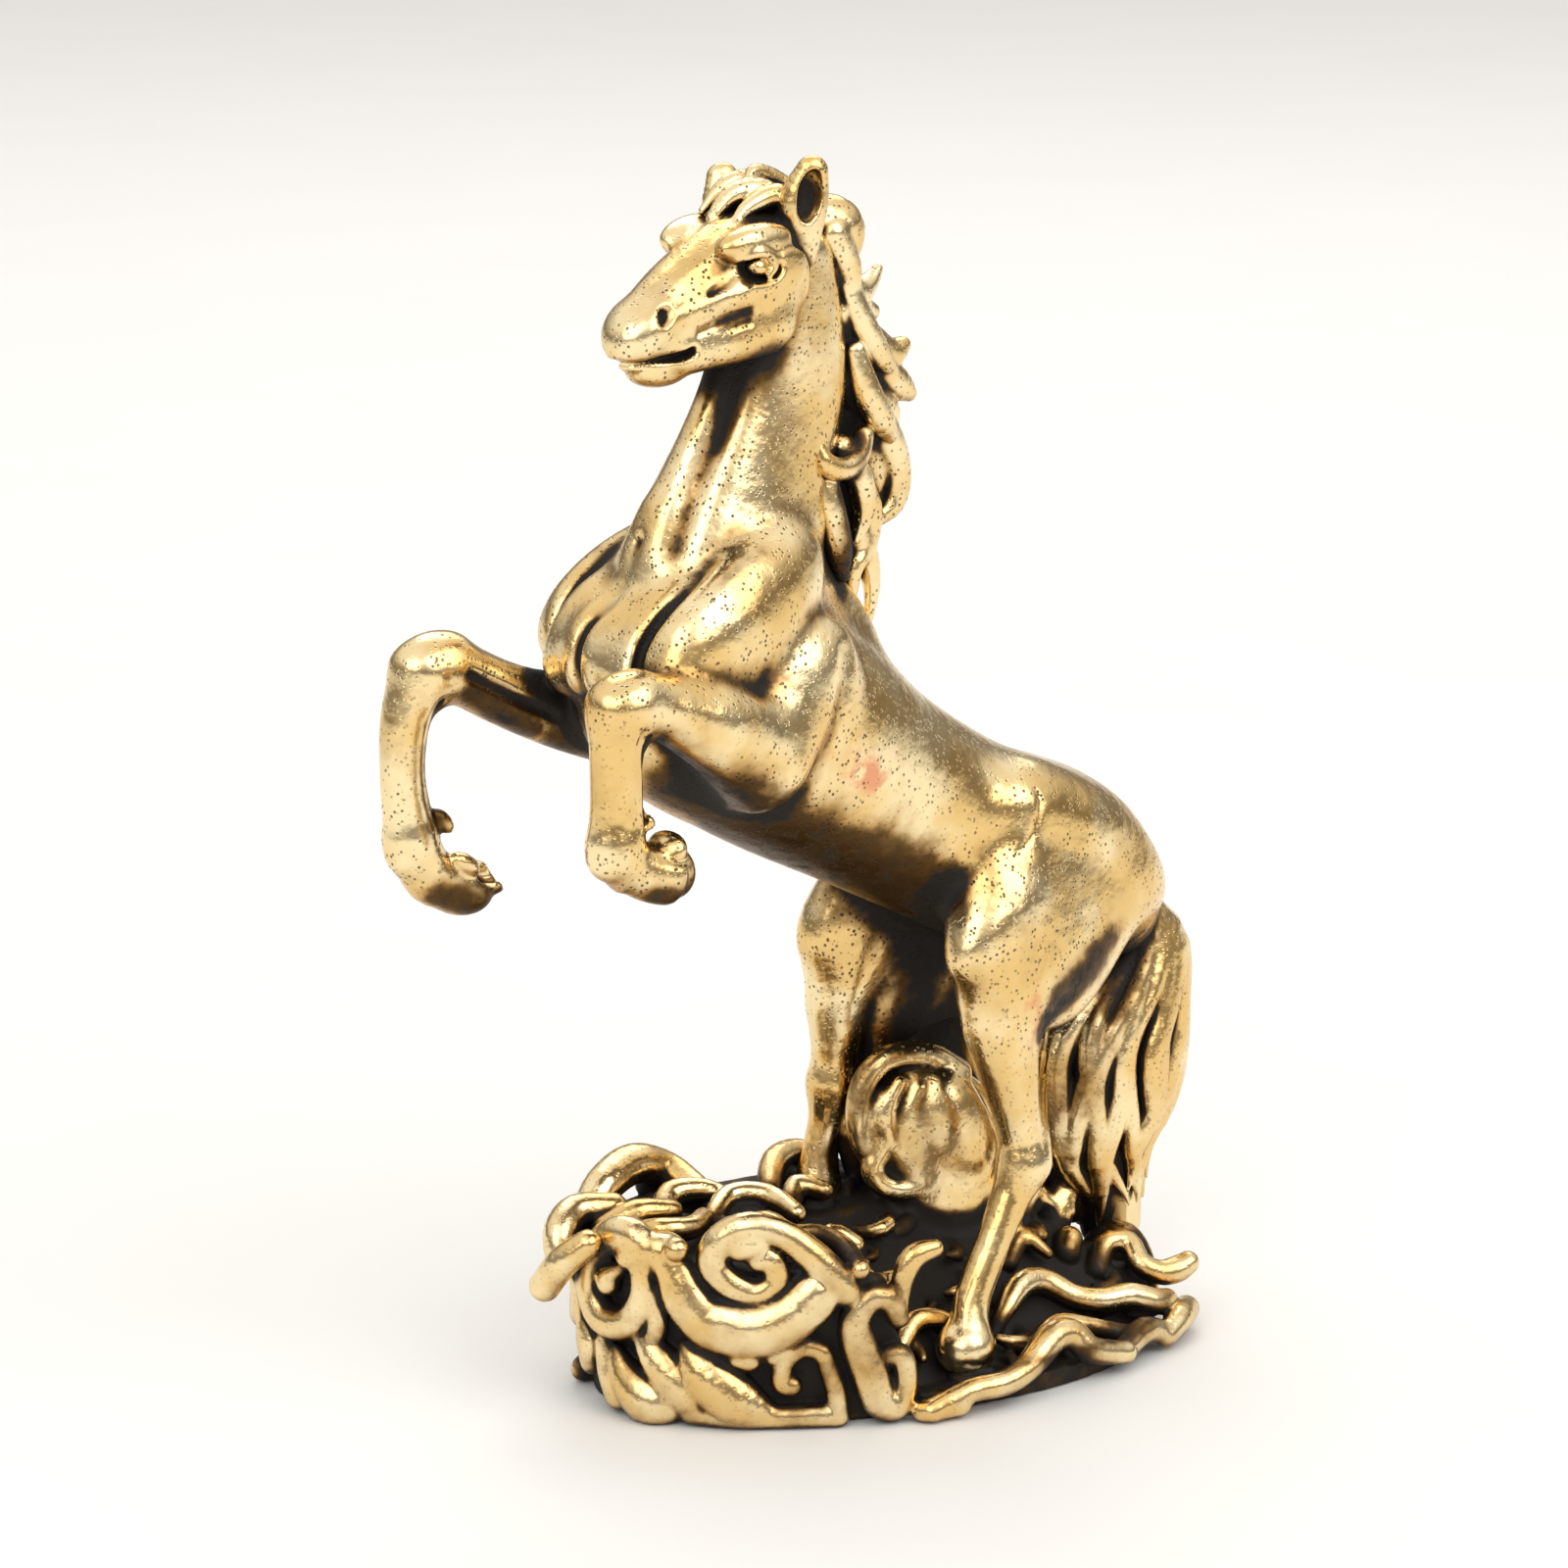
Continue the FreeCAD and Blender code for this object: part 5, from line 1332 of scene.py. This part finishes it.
# %% Bank of cloud between the hind legs
cloud.add(Limb([(6.0, 5.4, 0, 3.8, 2.6), (5.4, 8.6, 0, 3.6, 2.4), (4.8, 11.4, 0, 3.2, 2.0),
                (4.4, 13.6, 0, 2.2, 1.3)], 1.8), 0.4, BANK)
cloud.add(Egg((6.4, 3.4, 16.6), (6.4, 3.4, 7.0), 3.2, 1.6), 0.5, BANK)
for band in (
        [(1.4, 1.8, 9.4, .5), (.6, 2.1, 10.8, .55), (.4, 2.1, 12.6, .6), (1.0, 2.0, 14.2, .65),
         (2.4, 1.8, 15.0, .65), (4.4, 1.4, 14.8, .7), (6.0, 1.0, 13.6, .8)],
        [(2.4, 1.2, 13.8, .4), (1.7, 1.3, 12.6, .42), (1.7, 1.2, 11.2, .42), (2.4, .9, 10.0, .4)],
        [(3.3, .8, 13.4, .35), (2.8, .8, 12.4, .35), (2.8, .7, 11.2, .35), (3.4, .4, 10.4, .3)],
        [(1.6, 1.4, 10.6, .5), (1.0, 1.6, 9.4, .6), (1.6, 1.2, 8.4, .6), (3.0, .6, 8.2, .6),
         (4.2, .2, 8.6, .5)],
        [(6.6, .2, 11.4, .6), (7.4, .4, 9.8, .7), (6.8, .2, 8.4, .7), (5.4, -.2, 8.0, .5)],
        [(6.4, 1.6, 13.0, .7), (7.8, 1.6, 11.6, .8), (8.4, 1.6, 9.6, .8), (8.6, 1.0, 7.6, .7)],
        [(2.0, 3.6, 12.6, .7), (1.6, 4.2, 10.6, .7), (2.2, 4.4, 8.6, .7)],
        [(4.2, 3.6, 13.6, .7), (5.8, 4.0, 12.0, .8), (7.2, 4.0, 10.0, .8), (7.4, 3.8, 8.0, .7)],
        [(3.4, 4.4, 11.6, .6), (4.2, 4.8, 10.0, .7), (4.0, 4.8, 8.4, .6)]):
    cloud.add(Strand(band), 0.16, BANK)
cloud.add(Egg((4.4, 1.0, 14.2), (6.4, .2, 8.0), 2.0, 1.5), 0.3, BANK)
cloud.add(Egg((1.8, 1.8, 13.6), (3.0, 1.6, 8.4), 1.6, .9), 0.4, BANK)
print("with the bank of cloud the base holds", cloud.volume(), "mm3")


# %% [markdown]
# A founder files the underside flat, so that the piece stands without rocking. Everything below
# the table top is carved off in one cut.

# %% Flat foot
class Slab:
    """Everything under the table top, to plane the foot of the base flat."""

    low, high = np.array([-20.0, -12.0, -0.4]), np.array([18.4, 12.0, 0.5])

    def distance(self, x, y, z, reach):
        return (z + 0 * x + 0 * y).astype(np.float32)


cloud.carve(Slab(), 0.2)
print("cloud clay holds", cloud.volume(), "mm3 of brass")


# %% [markdown]
# ## Where the dark stays
#
# A casting like this is commonly blackened all over and then polished. The cloth reaches the
# high places and never the recesses. So each point needs two measures: how hollow the skin is
# just there, from the clay averaged over a small cube, and how closed in the place is, from all
# the metal within a few millimetres, which also sees a leg near a cloud or the tail near a thigh.

# %% Closeness of other metal
ROOM_LOW, ROOM_STEP = np.array([-31.0, -15.0, -1.5]), 0.25
ROOM_SIZE = (216, 120, 270)  # voxels
room_axes = [ROOM_LOW[a] + ROOM_STEP * np.arange(n) for a, n in enumerate(ROOM_SIZE)]
room = np.zeros([len(a) for a in room_axes], np.float32)


def turned(points, angle):
    """Points turned about the poll by angle, seen from above."""
    c, s = math.cos(angle), math.sin(angle)
    p = points - POLL
    return np.stack([c * p[:, 0] - s * p[:, 1], s * p[:, 0] + c * p[:, 1], p[:, 2]], axis=1) + POLL


def fill_room(clay, angle=0.0):
    """Marks the room's voxels that a block of clay fills, turned about the poll by angle."""
    high = clay.low + clay.step * (clay.size - 1)
    pad = 2.0 if angle else 0.0
    part = tuple(slice(np.searchsorted(g, lo - pad), np.searchsorted(g, hi + pad))
                 for g, lo, hi in zip(room_axes, clay.low, high))
    grid = np.meshgrid(*[g[p] for g, p in zip(room_axes, part)], indexing="ij")
    points = np.stack([g.ravel() for g in grid], axis=1)
    if angle:
        points = turned(points, -angle)
    near = np.rint((points - clay.low) / clay.step).astype(int)
    inside = np.all((near >= 0) & (near < clay.size), axis=1)
    near = np.clip(near, 0, clay.size - 1)
    depth = np.where(inside, clay.depth[near[:, 0], near[:, 1], near[:, 2]], FAR)
    full = np.clip(0.5 - depth / ROOM_STEP, 0, 1).reshape(grid[0].shape)
    room[part] = np.maximum(room[part], full)


for clay in (hide, mane, tail, cloud):
    fill_room(clay)
fill_room(head, HEAD_TURN)
NEAR_CUBE, FAR_CUBE = 2, 6  # voxels to each side
crowd_near, crowd_far = box_blur(room, NEAR_CUBE), box_blur(room, FAR_CUBE)
print("metal fills", round(float(room.sum()) * ROOM_STEP ** 3), "mm3 of the room")


# %% [markdown]
# Some darkness is painted and doesn't follow the hollows: painted shade on the belly, inside the
# legs, on the throat, under the jaw and between the hind legs, painted reflection on the shoulder
# and the thigh, and darker marks at the eyes, nostrils, ears and mane. Each such smudge is a soft
# line near the skin: a strength and then marks of x, y, z and radius. Spots of bare copper are
# given in the same way.

# %% Painted shade and other dark marks
# painted shade under the belly, throat and jaw, inside the legs and between the hind legs, painted
# reflection on shoulder and thigh
PAINTED_SHADE_AND_SMUDGES = [
    (0.62, [(-13.5, 3.0, 32.2, 2.4), (-7.5, 4.0, 28.8, 2.6), (-2.0, 4.4, 26.6, 2.5),
            (0.8, 4.0, 25.2, 1.6)]),
    (0.55, [(-11.0, 2.0, 29.6, 1.8), (-6.0, 2.4, 26.6, 2.0), (-1.0, 2.6, 24.2, 2.0),
            (2.4, 2.6, 22.4, 1.6)]),
    (0.8, [(11.0, 4.8, 22.0, 0.9), (8.6, 5.7, 20.8, 1.3), (6.6, 6.1, 19.3, 1.5),
           (5.2, 6.3, 17.8, 0.8)]),
    (1.0, [(4.6, 3.6, 22.4, 1.5), (5.2, 3.2, 19.6, 1.7), (5.0, 3.2, 16.8, 1.7)]),
    (0.5, [(0.4, 2.0, 10.0, 0.9), (0.6, 2.0, 14.4, 0.9)]),
    (0.85, [(-11.8, 2.4, 56.8, 0.22), (-13.2, 2.0, 56.0, 0.14)]),
    (0.85, [(-14.8, 1.7, 55.9, 0.12), (-13.9, 1.85, 56.6, 0.16)]),
    (0.9, [(-15.7, 1.7, 55.3, 0.22), (-15.5, 1.7, 55.5, 0.22)]),
    (0.9, [(-7.0, 2.5, 59.4, 0.4), (-6.8, 2.5, 60.4, 0.35)]),
    (0.62, [(-18.4, 6.6, 29.0, 0.7), (-16.4, 6.4, 29.0, 1.0)]),
    (0.62, [(-23.6, 3.8, 27.6, 0.8), (-20.4, 4.0, 26.6, 1.1)]),
    (0.6, [(-18.7, 5.5, 36.4, 0.5), (-18.7, 5.5, 32.6, 0.5)]),
    (0.75, [(-23.0, 4.6, 37.0, 0.7), (-23.3, 4.6, 34.0, 0.8), (-23.2, 4.8, 30.4, 0.8)]),
    (0.75, [(-21.6, 4.0, 37.6, 0.8), (-18.0, 4.2, 35.2, 1.1)]),
    (0.8, [(-17.6, 5.5, 35.8, 0.7), (-15.0, 5.6, 34.2, 0.9), (-12.4, 5.6, 32.4, 1.2)]),
    (0.85, [(-11.7, 2.6, 56.9, 0.32), (-11.2, 2.7, 56.4, 0.26)]),
    (0.34, [(-12.6, 2.2, 54.6, 0.25), (-11.0, 2.6, 54.9, 0.35)]),
    (0.5, [(-8.0, 1.6, 58.9, 0.7)]),
    (1.0, [(4.0, 0.0, 23.0, 4.0), (9.0, 0.0, 20.4, 3.6)]),
    (1.0, [(9.0, 3.4, 20.0, 1.8), (6.6, 3.4, 15.4, 2.4)]),
    (0.4, [(12.6, 2.0, 15.0, 1.6), (11.4, 2.4, 11.0, 1.7), (12.0, 2.4, 7.6, 1.5),
           (14.0, 2.0, 4.4, 1.6)]),
    (0.8, [(1.0, 4.0, 9.6, 1.2), (5.0, 3.0, 8.2, 1.6)]),
    (0.9, [(-13.6, 2.4, 33.4, 2.0), (-9.5, 3.4, 31.6, 2.0)]),
    (0.7, [(-17.5, 0.0, 35.4, 1.8)]),
    (0.9, [(-17.2, 3.6, 36.8, 1.4), (-15.6, 4.6, 34.2, 1.3)]),
    (0.95, [(-9.6, 1.5, 52.6, 1.3), (-10.4, 1.5, 50.6, 0.9), (-11.4, 1.8, 48.6, 0.5)]),
    (0.95, [(-13.0, 0.6, 51.7, 1.1), (-8.6, 0.8, 52.0, 1.7)]),
    (0.4, [(-13.4, 4.4, 43.0, 1.0), (-10.8, 4.4, 43.6, 0.8)]),
    (0.9, [(16.8, 1.4, 21.4, 1.2), (14.6, 1.2, 17.4, 1.4), (13.6, 1.2, 12.0, 1.2)]),
    (0.6, [(-13.4, 6.0, 34.4, 1.2), (-10.4, 5.8, 32.4, 1.1)]),
    (0.6, [(-18.0, 5.6, 36.4, 0.9), (-19.4, 5.4, 34.6, 0.5)]),
    (0.9, [(-6.2, 1.6, 60.0, 1.1)]),
    (0.9, [(-3.2, 0.6, 56.6, 0.5), (-1.6, 0.6, 52.0, 0.5), (-1.4, 0.8, 49.0, 0.5)]),
    (0.9, [(-2.6, 1.2, 47.6, 0.8), (-3.8, 1.7, 45.4, 0.9), (-3.2, 1.4, 41.0, 1.0)]),
]
COPPER = [
    (1.0, [(-5.7, 5.4, 33.0, 1.0), (-4.6, 5.4, 32.2, 0.8)]),
    (0.8, [(4.2, 6.4, 20.2, 0.7), (4.6, 6.6, 17.4, 0.6)]),
    (0.7, [(-10.4, 5.9, 38.2, 0.6)]),
    (0.7, [(-13.8, 5.6, 6.0, 0.9), (-9.4, 7.6, 4.4, 0.7)]),
]


print(len(PAINTED_SHADE_AND_SMUDGES), "smudges and", len(COPPER), "spots of copper")


# %% How far a smudge reaches
FADE_START, FADE_LENGTH = 1.5, 1.1  # in radii of the line: nothing is painted past the first


def line_strength(points, lines):
    """How strongly the soft lines reach each point, the same on both sides of the horse."""
    total = np.zeros(len(points))
    mirrored = points * (1, -1, 1)
    for strength, line in lines:
        for here in (points, mirrored):
            reach = np.full(len(points), 9.0)
            for a, b in zip(line, line[1:] or line):
                a, b = np.array(a), np.array(b)
                along = (b - a)[:3]
                t = np.clip((here - a[:3]) @ along / max(along @ along, TINY), 0, 1)
                gap = np.linalg.norm(here - a[:3] - t[:, None] * along, axis=1)
                reach = np.minimum(reach, gap / (a[3] + t * (b[3] - a[3])))
            t = np.clip((FADE_START - reach) / FADE_LENGTH, 0, 1)
            total = np.maximum(total, strength * t * t * (3 - 2 * t))
    return total


print("smoke on its line and 1 mm away:",
      line_strength(np.array([(0.0, 5.0, 0.0), (0.0, 6.0, 0.0)]), [(1.0, [(0, 5, 0, 1)])]).round(2))


# %% [markdown]
# ## Skins of metal
#
# Now each block of clay becomes its castings. One mesh is made for each owner, and every point
# takes with it the seven measures that the finish reads. The measures could be baked into an
# unwrapped texture, but then each skin would need a layout, and points this close need none.

# %% Hollows
def hollowness(clay, points, width):
    """Signed hollow at points: 0 on a flat, above 0 in a groove, below 0 on a ridge."""
    voxels = max(1, round(width / clay.step))
    level = box_blur(np.clip(clay.depth, -2 * width, 2 * width), voxels)
    return -sample(level, clay.low, clay.step, points) / width


print("a test ball reads", hollowness(ball, np.array([[0.0, 1.0, 0.0]]), 0.3).round(2),
      "at its side, below 0 as on any ridge")


# %% [markdown]
# The base is dark except on the backs of its bands, so its soot has one more rule. It is full in
# the seams and on the bare block between the bands, full too where the skin stands hardly proud
# of the block, and never quite nothing.

# %% Soot on the base
SEAM_FROM, SEAM_OVER = 0.02, 0.22  # mm outside the nearest band
PROUD_TO, PROUD_OVER = 1.22, 0.65  # mm outside the block
BASE_SOOT, LEAST_BASE_SOOT = 0.9, 0.14


def base_soot(clay, points):
    """Soot on the base: most between its bands, least on their backs."""
    off_band = sample(clay.raised, clay.low, clay.step, points)
    seam = np.clip((off_band - SEAM_FROM) / SEAM_OVER, 0, 1)
    proud = Block().distance(points[:, 0], points[:, 1], points[:, 2], 0)
    low = np.clip((PROUD_TO - proud) / PROUD_OVER, 0, 1)
    return np.maximum(np.maximum(seam, low) * BASE_SOOT, LEAST_BASE_SOOT)


print("soot at the middle of the base:", base_soot(cloud, np.array([[0.0, 0.0, 4.0]])))


# %% [markdown]
# Casting turns a block of clay into mesh objects. The head is turned here, after its measures of
# hollow, painted shade and smudge are taken and before those of its surroundings, because it has
# its own clay but shares the room with the rest.

# %% Casting
FINE_WIDTH, BROAD_WIDTH = 0.3, 0.8  # mm, the two sizes of hollow that are felt
NEAR_OUT, FAR_OUT = 0.35, 0.7  # mm off the skin, where its surroundings are felt


def cast(clay, names, angle=0.0):
    """One mesh object for each owner named, with the measures that the finish reads."""
    points, sets = skin(clay)
    away = slope(clay, points)
    fine = hollowness(clay, points, FINE_WIDTH)
    broad = hollowness(clay, points, BROAD_WIDTH)
    # painted shade and painted reflection from the dark marks; on the base, patina between the
    # bands
    soot = line_strength(points, PAINTED_SHADE_AND_SMUDGES)
    if angle:
        points = turned(points, angle)
        away = turned(away + POLL, angle) - POLL
    if clay.raised is not None:
        soot = np.maximum(soot, base_soot(clay, points))
    copper = line_strength(points, COPPER)
    near = sample(crowd_near, ROOM_LOW, ROOM_STEP, points + away * NEAR_OUT) * 2
    far = sample(crowd_far, ROOM_LOW, ROOM_STEP, points + away * FAR_OUT) * 2
    made = {}
    for owner, name in names.items():
        faces = sets[owner]
        used, place = np.unique(faces.ravel(), return_inverse=True)
        mesh = bpy.data.meshes.new(name)
        mesh.vertices.add(len(used))
        mesh.vertices.foreach_set("co", (points[used] * MM).astype(np.float32).ravel())
        mesh.loops.add(faces.size)
        mesh.loops.foreach_set("vertex_index", place.astype(np.int32).ravel())
        mesh.polygons.add(len(faces))
        mesh.polygons.foreach_set("loop_start", np.arange(0, faces.size, 4, dtype=np.int32))
        mesh.polygons.foreach_set("use_smooth", np.ones(len(faces), bool))
        mesh.update(calc_edges=True)
        mesh.normals_split_custom_set_from_vertices(away[used])
        for label, values in zip(MEASURES, (fine, broad, near, far, away[:, 2], soot, copper)):
            layer = mesh.attributes.new(label, "FLOAT", "POINT")
            layer.data.foreach_set("value", values[used].astype(np.float32))
        piece = bpy.data.objects.new(name, mesh)
        bpy.context.scene.collection.objects.link(piece)
        made[name] = piece
        print(f"{name}: {len(faces) * 2} triangles")
    return made


print("a casting carries", len(MEASURES), "measures")

# %% [markdown]
# The five blocks of clay give twenty-six castings. Each is named after the CAD solid that it
# stands for, with `_skin` added.

# %% The castings
pieces = {}
pieces |= cast(hide, {TRUNK: "trunk_skin", NECK: "neck_skin", LEFT_FORE: "left_foreleg_skin",
                      RIGHT_FORE: "right_foreleg_skin", LEFT_HIND: "left_hind_leg_skin",
                      RIGHT_HIND: "right_hind_leg_skin"})
pieces |= cast(head, {HEAD: "head_skin", LEFT_EAR: "left_ear_skin", RIGHT_EAR: "right_ear_skin",
                      FORELOCK: "forelock_skin"}, HEAD_TURN)
pieces |= cast(mane, {MANE: "mane_skin"})
pieces |= cast(tail, {TAIL: "tail_skin"})
pieces |= cast(cloud, {
    CLOUD: "cloud_base_skin", BANK: "cloud_bank_skin", FRONT: "front_cloud_scroll_skin",
    CORNER: "corner_cloud_scroll_skin", CURL: "curl_cloud_scroll_skin",
    LADLE: "ladle_cloud_scroll_skin", REAR: "rear_cloud_scroll_skin",
    RIGHT_REAR: "right_rear_cloud_scroll_skin", RIGHT: "right_cloud_scroll_skin",
    RIGHT_FRONT: "right_front_cloud_scroll_skin", TOE: "toe_cloud_scroll_skin",
    UPPER_WAVE: "upper_cloud_wave_skin", LOWER_WAVE: "lower_cloud_wave_skin",
    TAIL_CURL: "tail_cloud_curl_skin"})
print(sum(len(p.data.polygons) for p in pieces.values()) * 2, "triangles in all")

# %% [markdown]
# ## Into the packed frame
#
# The whole horse is one rigid body, so every skin rides on the root, and each one hides its own
# CAD solid, which stays in the model for collisions.

# %% Put the skins in place of the CAD solids
for name, piece in pieces.items():
    node = name.removesuffix("_skin")
    piece.data.materials.append(brass)
    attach(piece, "root")
    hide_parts(node)
print(len(pieces), "skins stand for CAD solids")

# %% [markdown]
# The dowels and tenons that hold the sections together are plain pins inside the metal, where
# they can't be seen. Their CAD shape is kept, and they only get a plainer, unpolished brass.

# %% Hidden pins
def node_box(node):
    """Lowest and highest corner of a CAD node, in mm."""
    low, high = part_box(node)
    return np.array(low) / MM, np.array(high) / MM


maker, shader, pin_brass = start("pin_brass")
wear = maker.node("ShaderNodeTexNoise", _2=600.0, _3=3.0,
                  Vector=maker.node("ShaderNodeTexCoord", out=3))
pin_colour = wear.blend(tone(0.5, 0.34, 0.14), tone(0.62, 0.44, 0.2))
pin_brass.node_tree.links.new(pin_colour.link, shader.inputs["Base Color"])
pin_brass.node_tree.links.new((0.3 + wear * 0.2).link, shader.inputs["Roughness"])
shader.inputs["Metallic"].default_value = 1.0
for node in ("section_dowels", "base_tenons"):
    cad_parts[node].data.materials.clear()
    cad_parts[node].data.materials.append(pin_brass)
    print(node, "lie between", *(corner.round(1) for corner in node_box(node)), "mm")

# %% [markdown]
# ## Table, light and camera
#
# The horse stands on a plain pale table. It lies a hair below the foot, so that the two surfaces
# don't flicker where they meet, and it runs so far out that its edge shows in no reflection.

# %% Table
TABLE_HALF, TABLE_GAP = 8, 0.00002  # metres
maker, shader, paper = start("pale_table")
fleck = maker.node("ShaderNodeTexNoise", _2=40.0,
                   Vector=maker.node("ShaderNodeTexCoord", out=3))
paper_colour = fleck.blend(tone(0.80, 0.80, 0.79), tone(0.83, 0.83, 0.82))
paper.node_tree.links.new(paper_colour.link, shader.inputs["Base Color"])
shader.inputs["Roughness"].default_value = 0.7
floor_mesh = bpy.data.meshes.new("table_top")
floor_mesh.from_pydata([(x * TABLE_HALF, y * TABLE_HALF, -TABLE_GAP)
                        for x, y in ((-1, -1), (1, -1), (1, 1), (-1, 1))], [], [(0, 1, 2, 3)])
floor = bpy.data.objects.new("table_top", floor_mesh)
floor_mesh.materials.append(paper)
bpy.context.scene.collection.objects.link(floor)
print("the table is", 2 * TABLE_HALF, "m across")

# %% [markdown]
# Polished metal shows the room more than it shows light, so the room has its own shading: bright
# overhead, a thin pale band at the horizon, and a dim warm zone between them, which puts the dark
# edges into the reflections that make brass look like brass.

# %% Soft room
world = bpy.data.worlds.new("soft_room")
bpy.context.scene.world = world
world.use_nodes = True
maker = Socket(world.node_tree, None)
ray = maker.node("ShaderNodeTexCoord", out=0)
height = maker.node("ShaderNodeSeparateXYZ", out=2, Vector=ray)
overhead = height.ramp(0.08, 0.66).blend(tone(0.17, 0.14, 0.11), tone(1.0, 0.98, 0.95))
sky = height.ramp(0.01, 0.08).blend(tone(0.60, 0.58, 0.56), overhead)
world.node_tree.links.new(sky.link, world.node_tree.nodes["Background"].inputs[0])
print("the room's shading has", len(world.node_tree.nodes), "nodes")

# %% [markdown]
# Three nearly neutral softboxes model the form, and are named as the camera sees them. The left
# one is for the breast and the head, the right one, a little stronger, is for the flank, and the
# one behind is for a pale line along the croup and the tail.

# %% Softboxes
from mathutils import Vector

AIM = Vector((-5.9, 0, 31)) * MM
LAMP_DISTANCE, LAMP_COLOUR = 0.5, (1.0, 0.98, 0.95)


def facing(name, data, azimuth, elevation, distance):
    """An object that faces AIM from azimuth and elevation, in degrees from -Y."""
    a, e = math.radians(azimuth), math.radians(elevation)
    back = Vector((math.sin(a) * math.cos(e), -math.cos(a) * math.cos(e), math.sin(e)))
    made = bpy.data.objects.new(name, data)
    made.location = AIM + back * distance
    made.rotation_euler = back.to_track_quat("Z", "Y").to_euler()
    bpy.context.scene.collection.objects.link(made)
    return made


for name, azimuth, elevation, size, power in (
        ("left_softbox", -62, 35, 0.40, 0.75), ("right_softbox", 18, 40, 0.40, 0.95),
        ("back_softbox", 140, 45, 0.35, 0.6)):
    lamp = bpy.data.lights.new(name, "AREA")
    lamp.shape, lamp.size, lamp.energy, lamp.color = "SQUARE", size, power, LAMP_COLOUR
    facing(name, lamp, azimuth, elevation, LAMP_DISTANCE)
    print(name, "gives", power, "W from", size, "m across")

# %% [markdown]
# The camera looks from the horse's left front, a little above it, with the perspective of a
# quarter of a metre, which is how a small thing is usually looked at.

# %% Camera
SENSOR_WIDTH, VIEW_DISTANCE, VIEW_WIDTH = 36, 0.250, 0.076  # mm, and then metres
lens = bpy.data.cameras.new("camera")
lens.sensor_width, lens.lens = SENSOR_WIDTH, SENSOR_WIDTH * VIEW_DISTANCE / VIEW_WIDTH
lens.clip_start = 0.01
bpy.context.scene.camera = facing("camera", lens, -38, 15, VIEW_DISTANCE)
bpy.context.scene.view_settings.view_transform = "Standard"
print("camera lens", round(lens.lens, 1), "mm")

# %% [markdown]
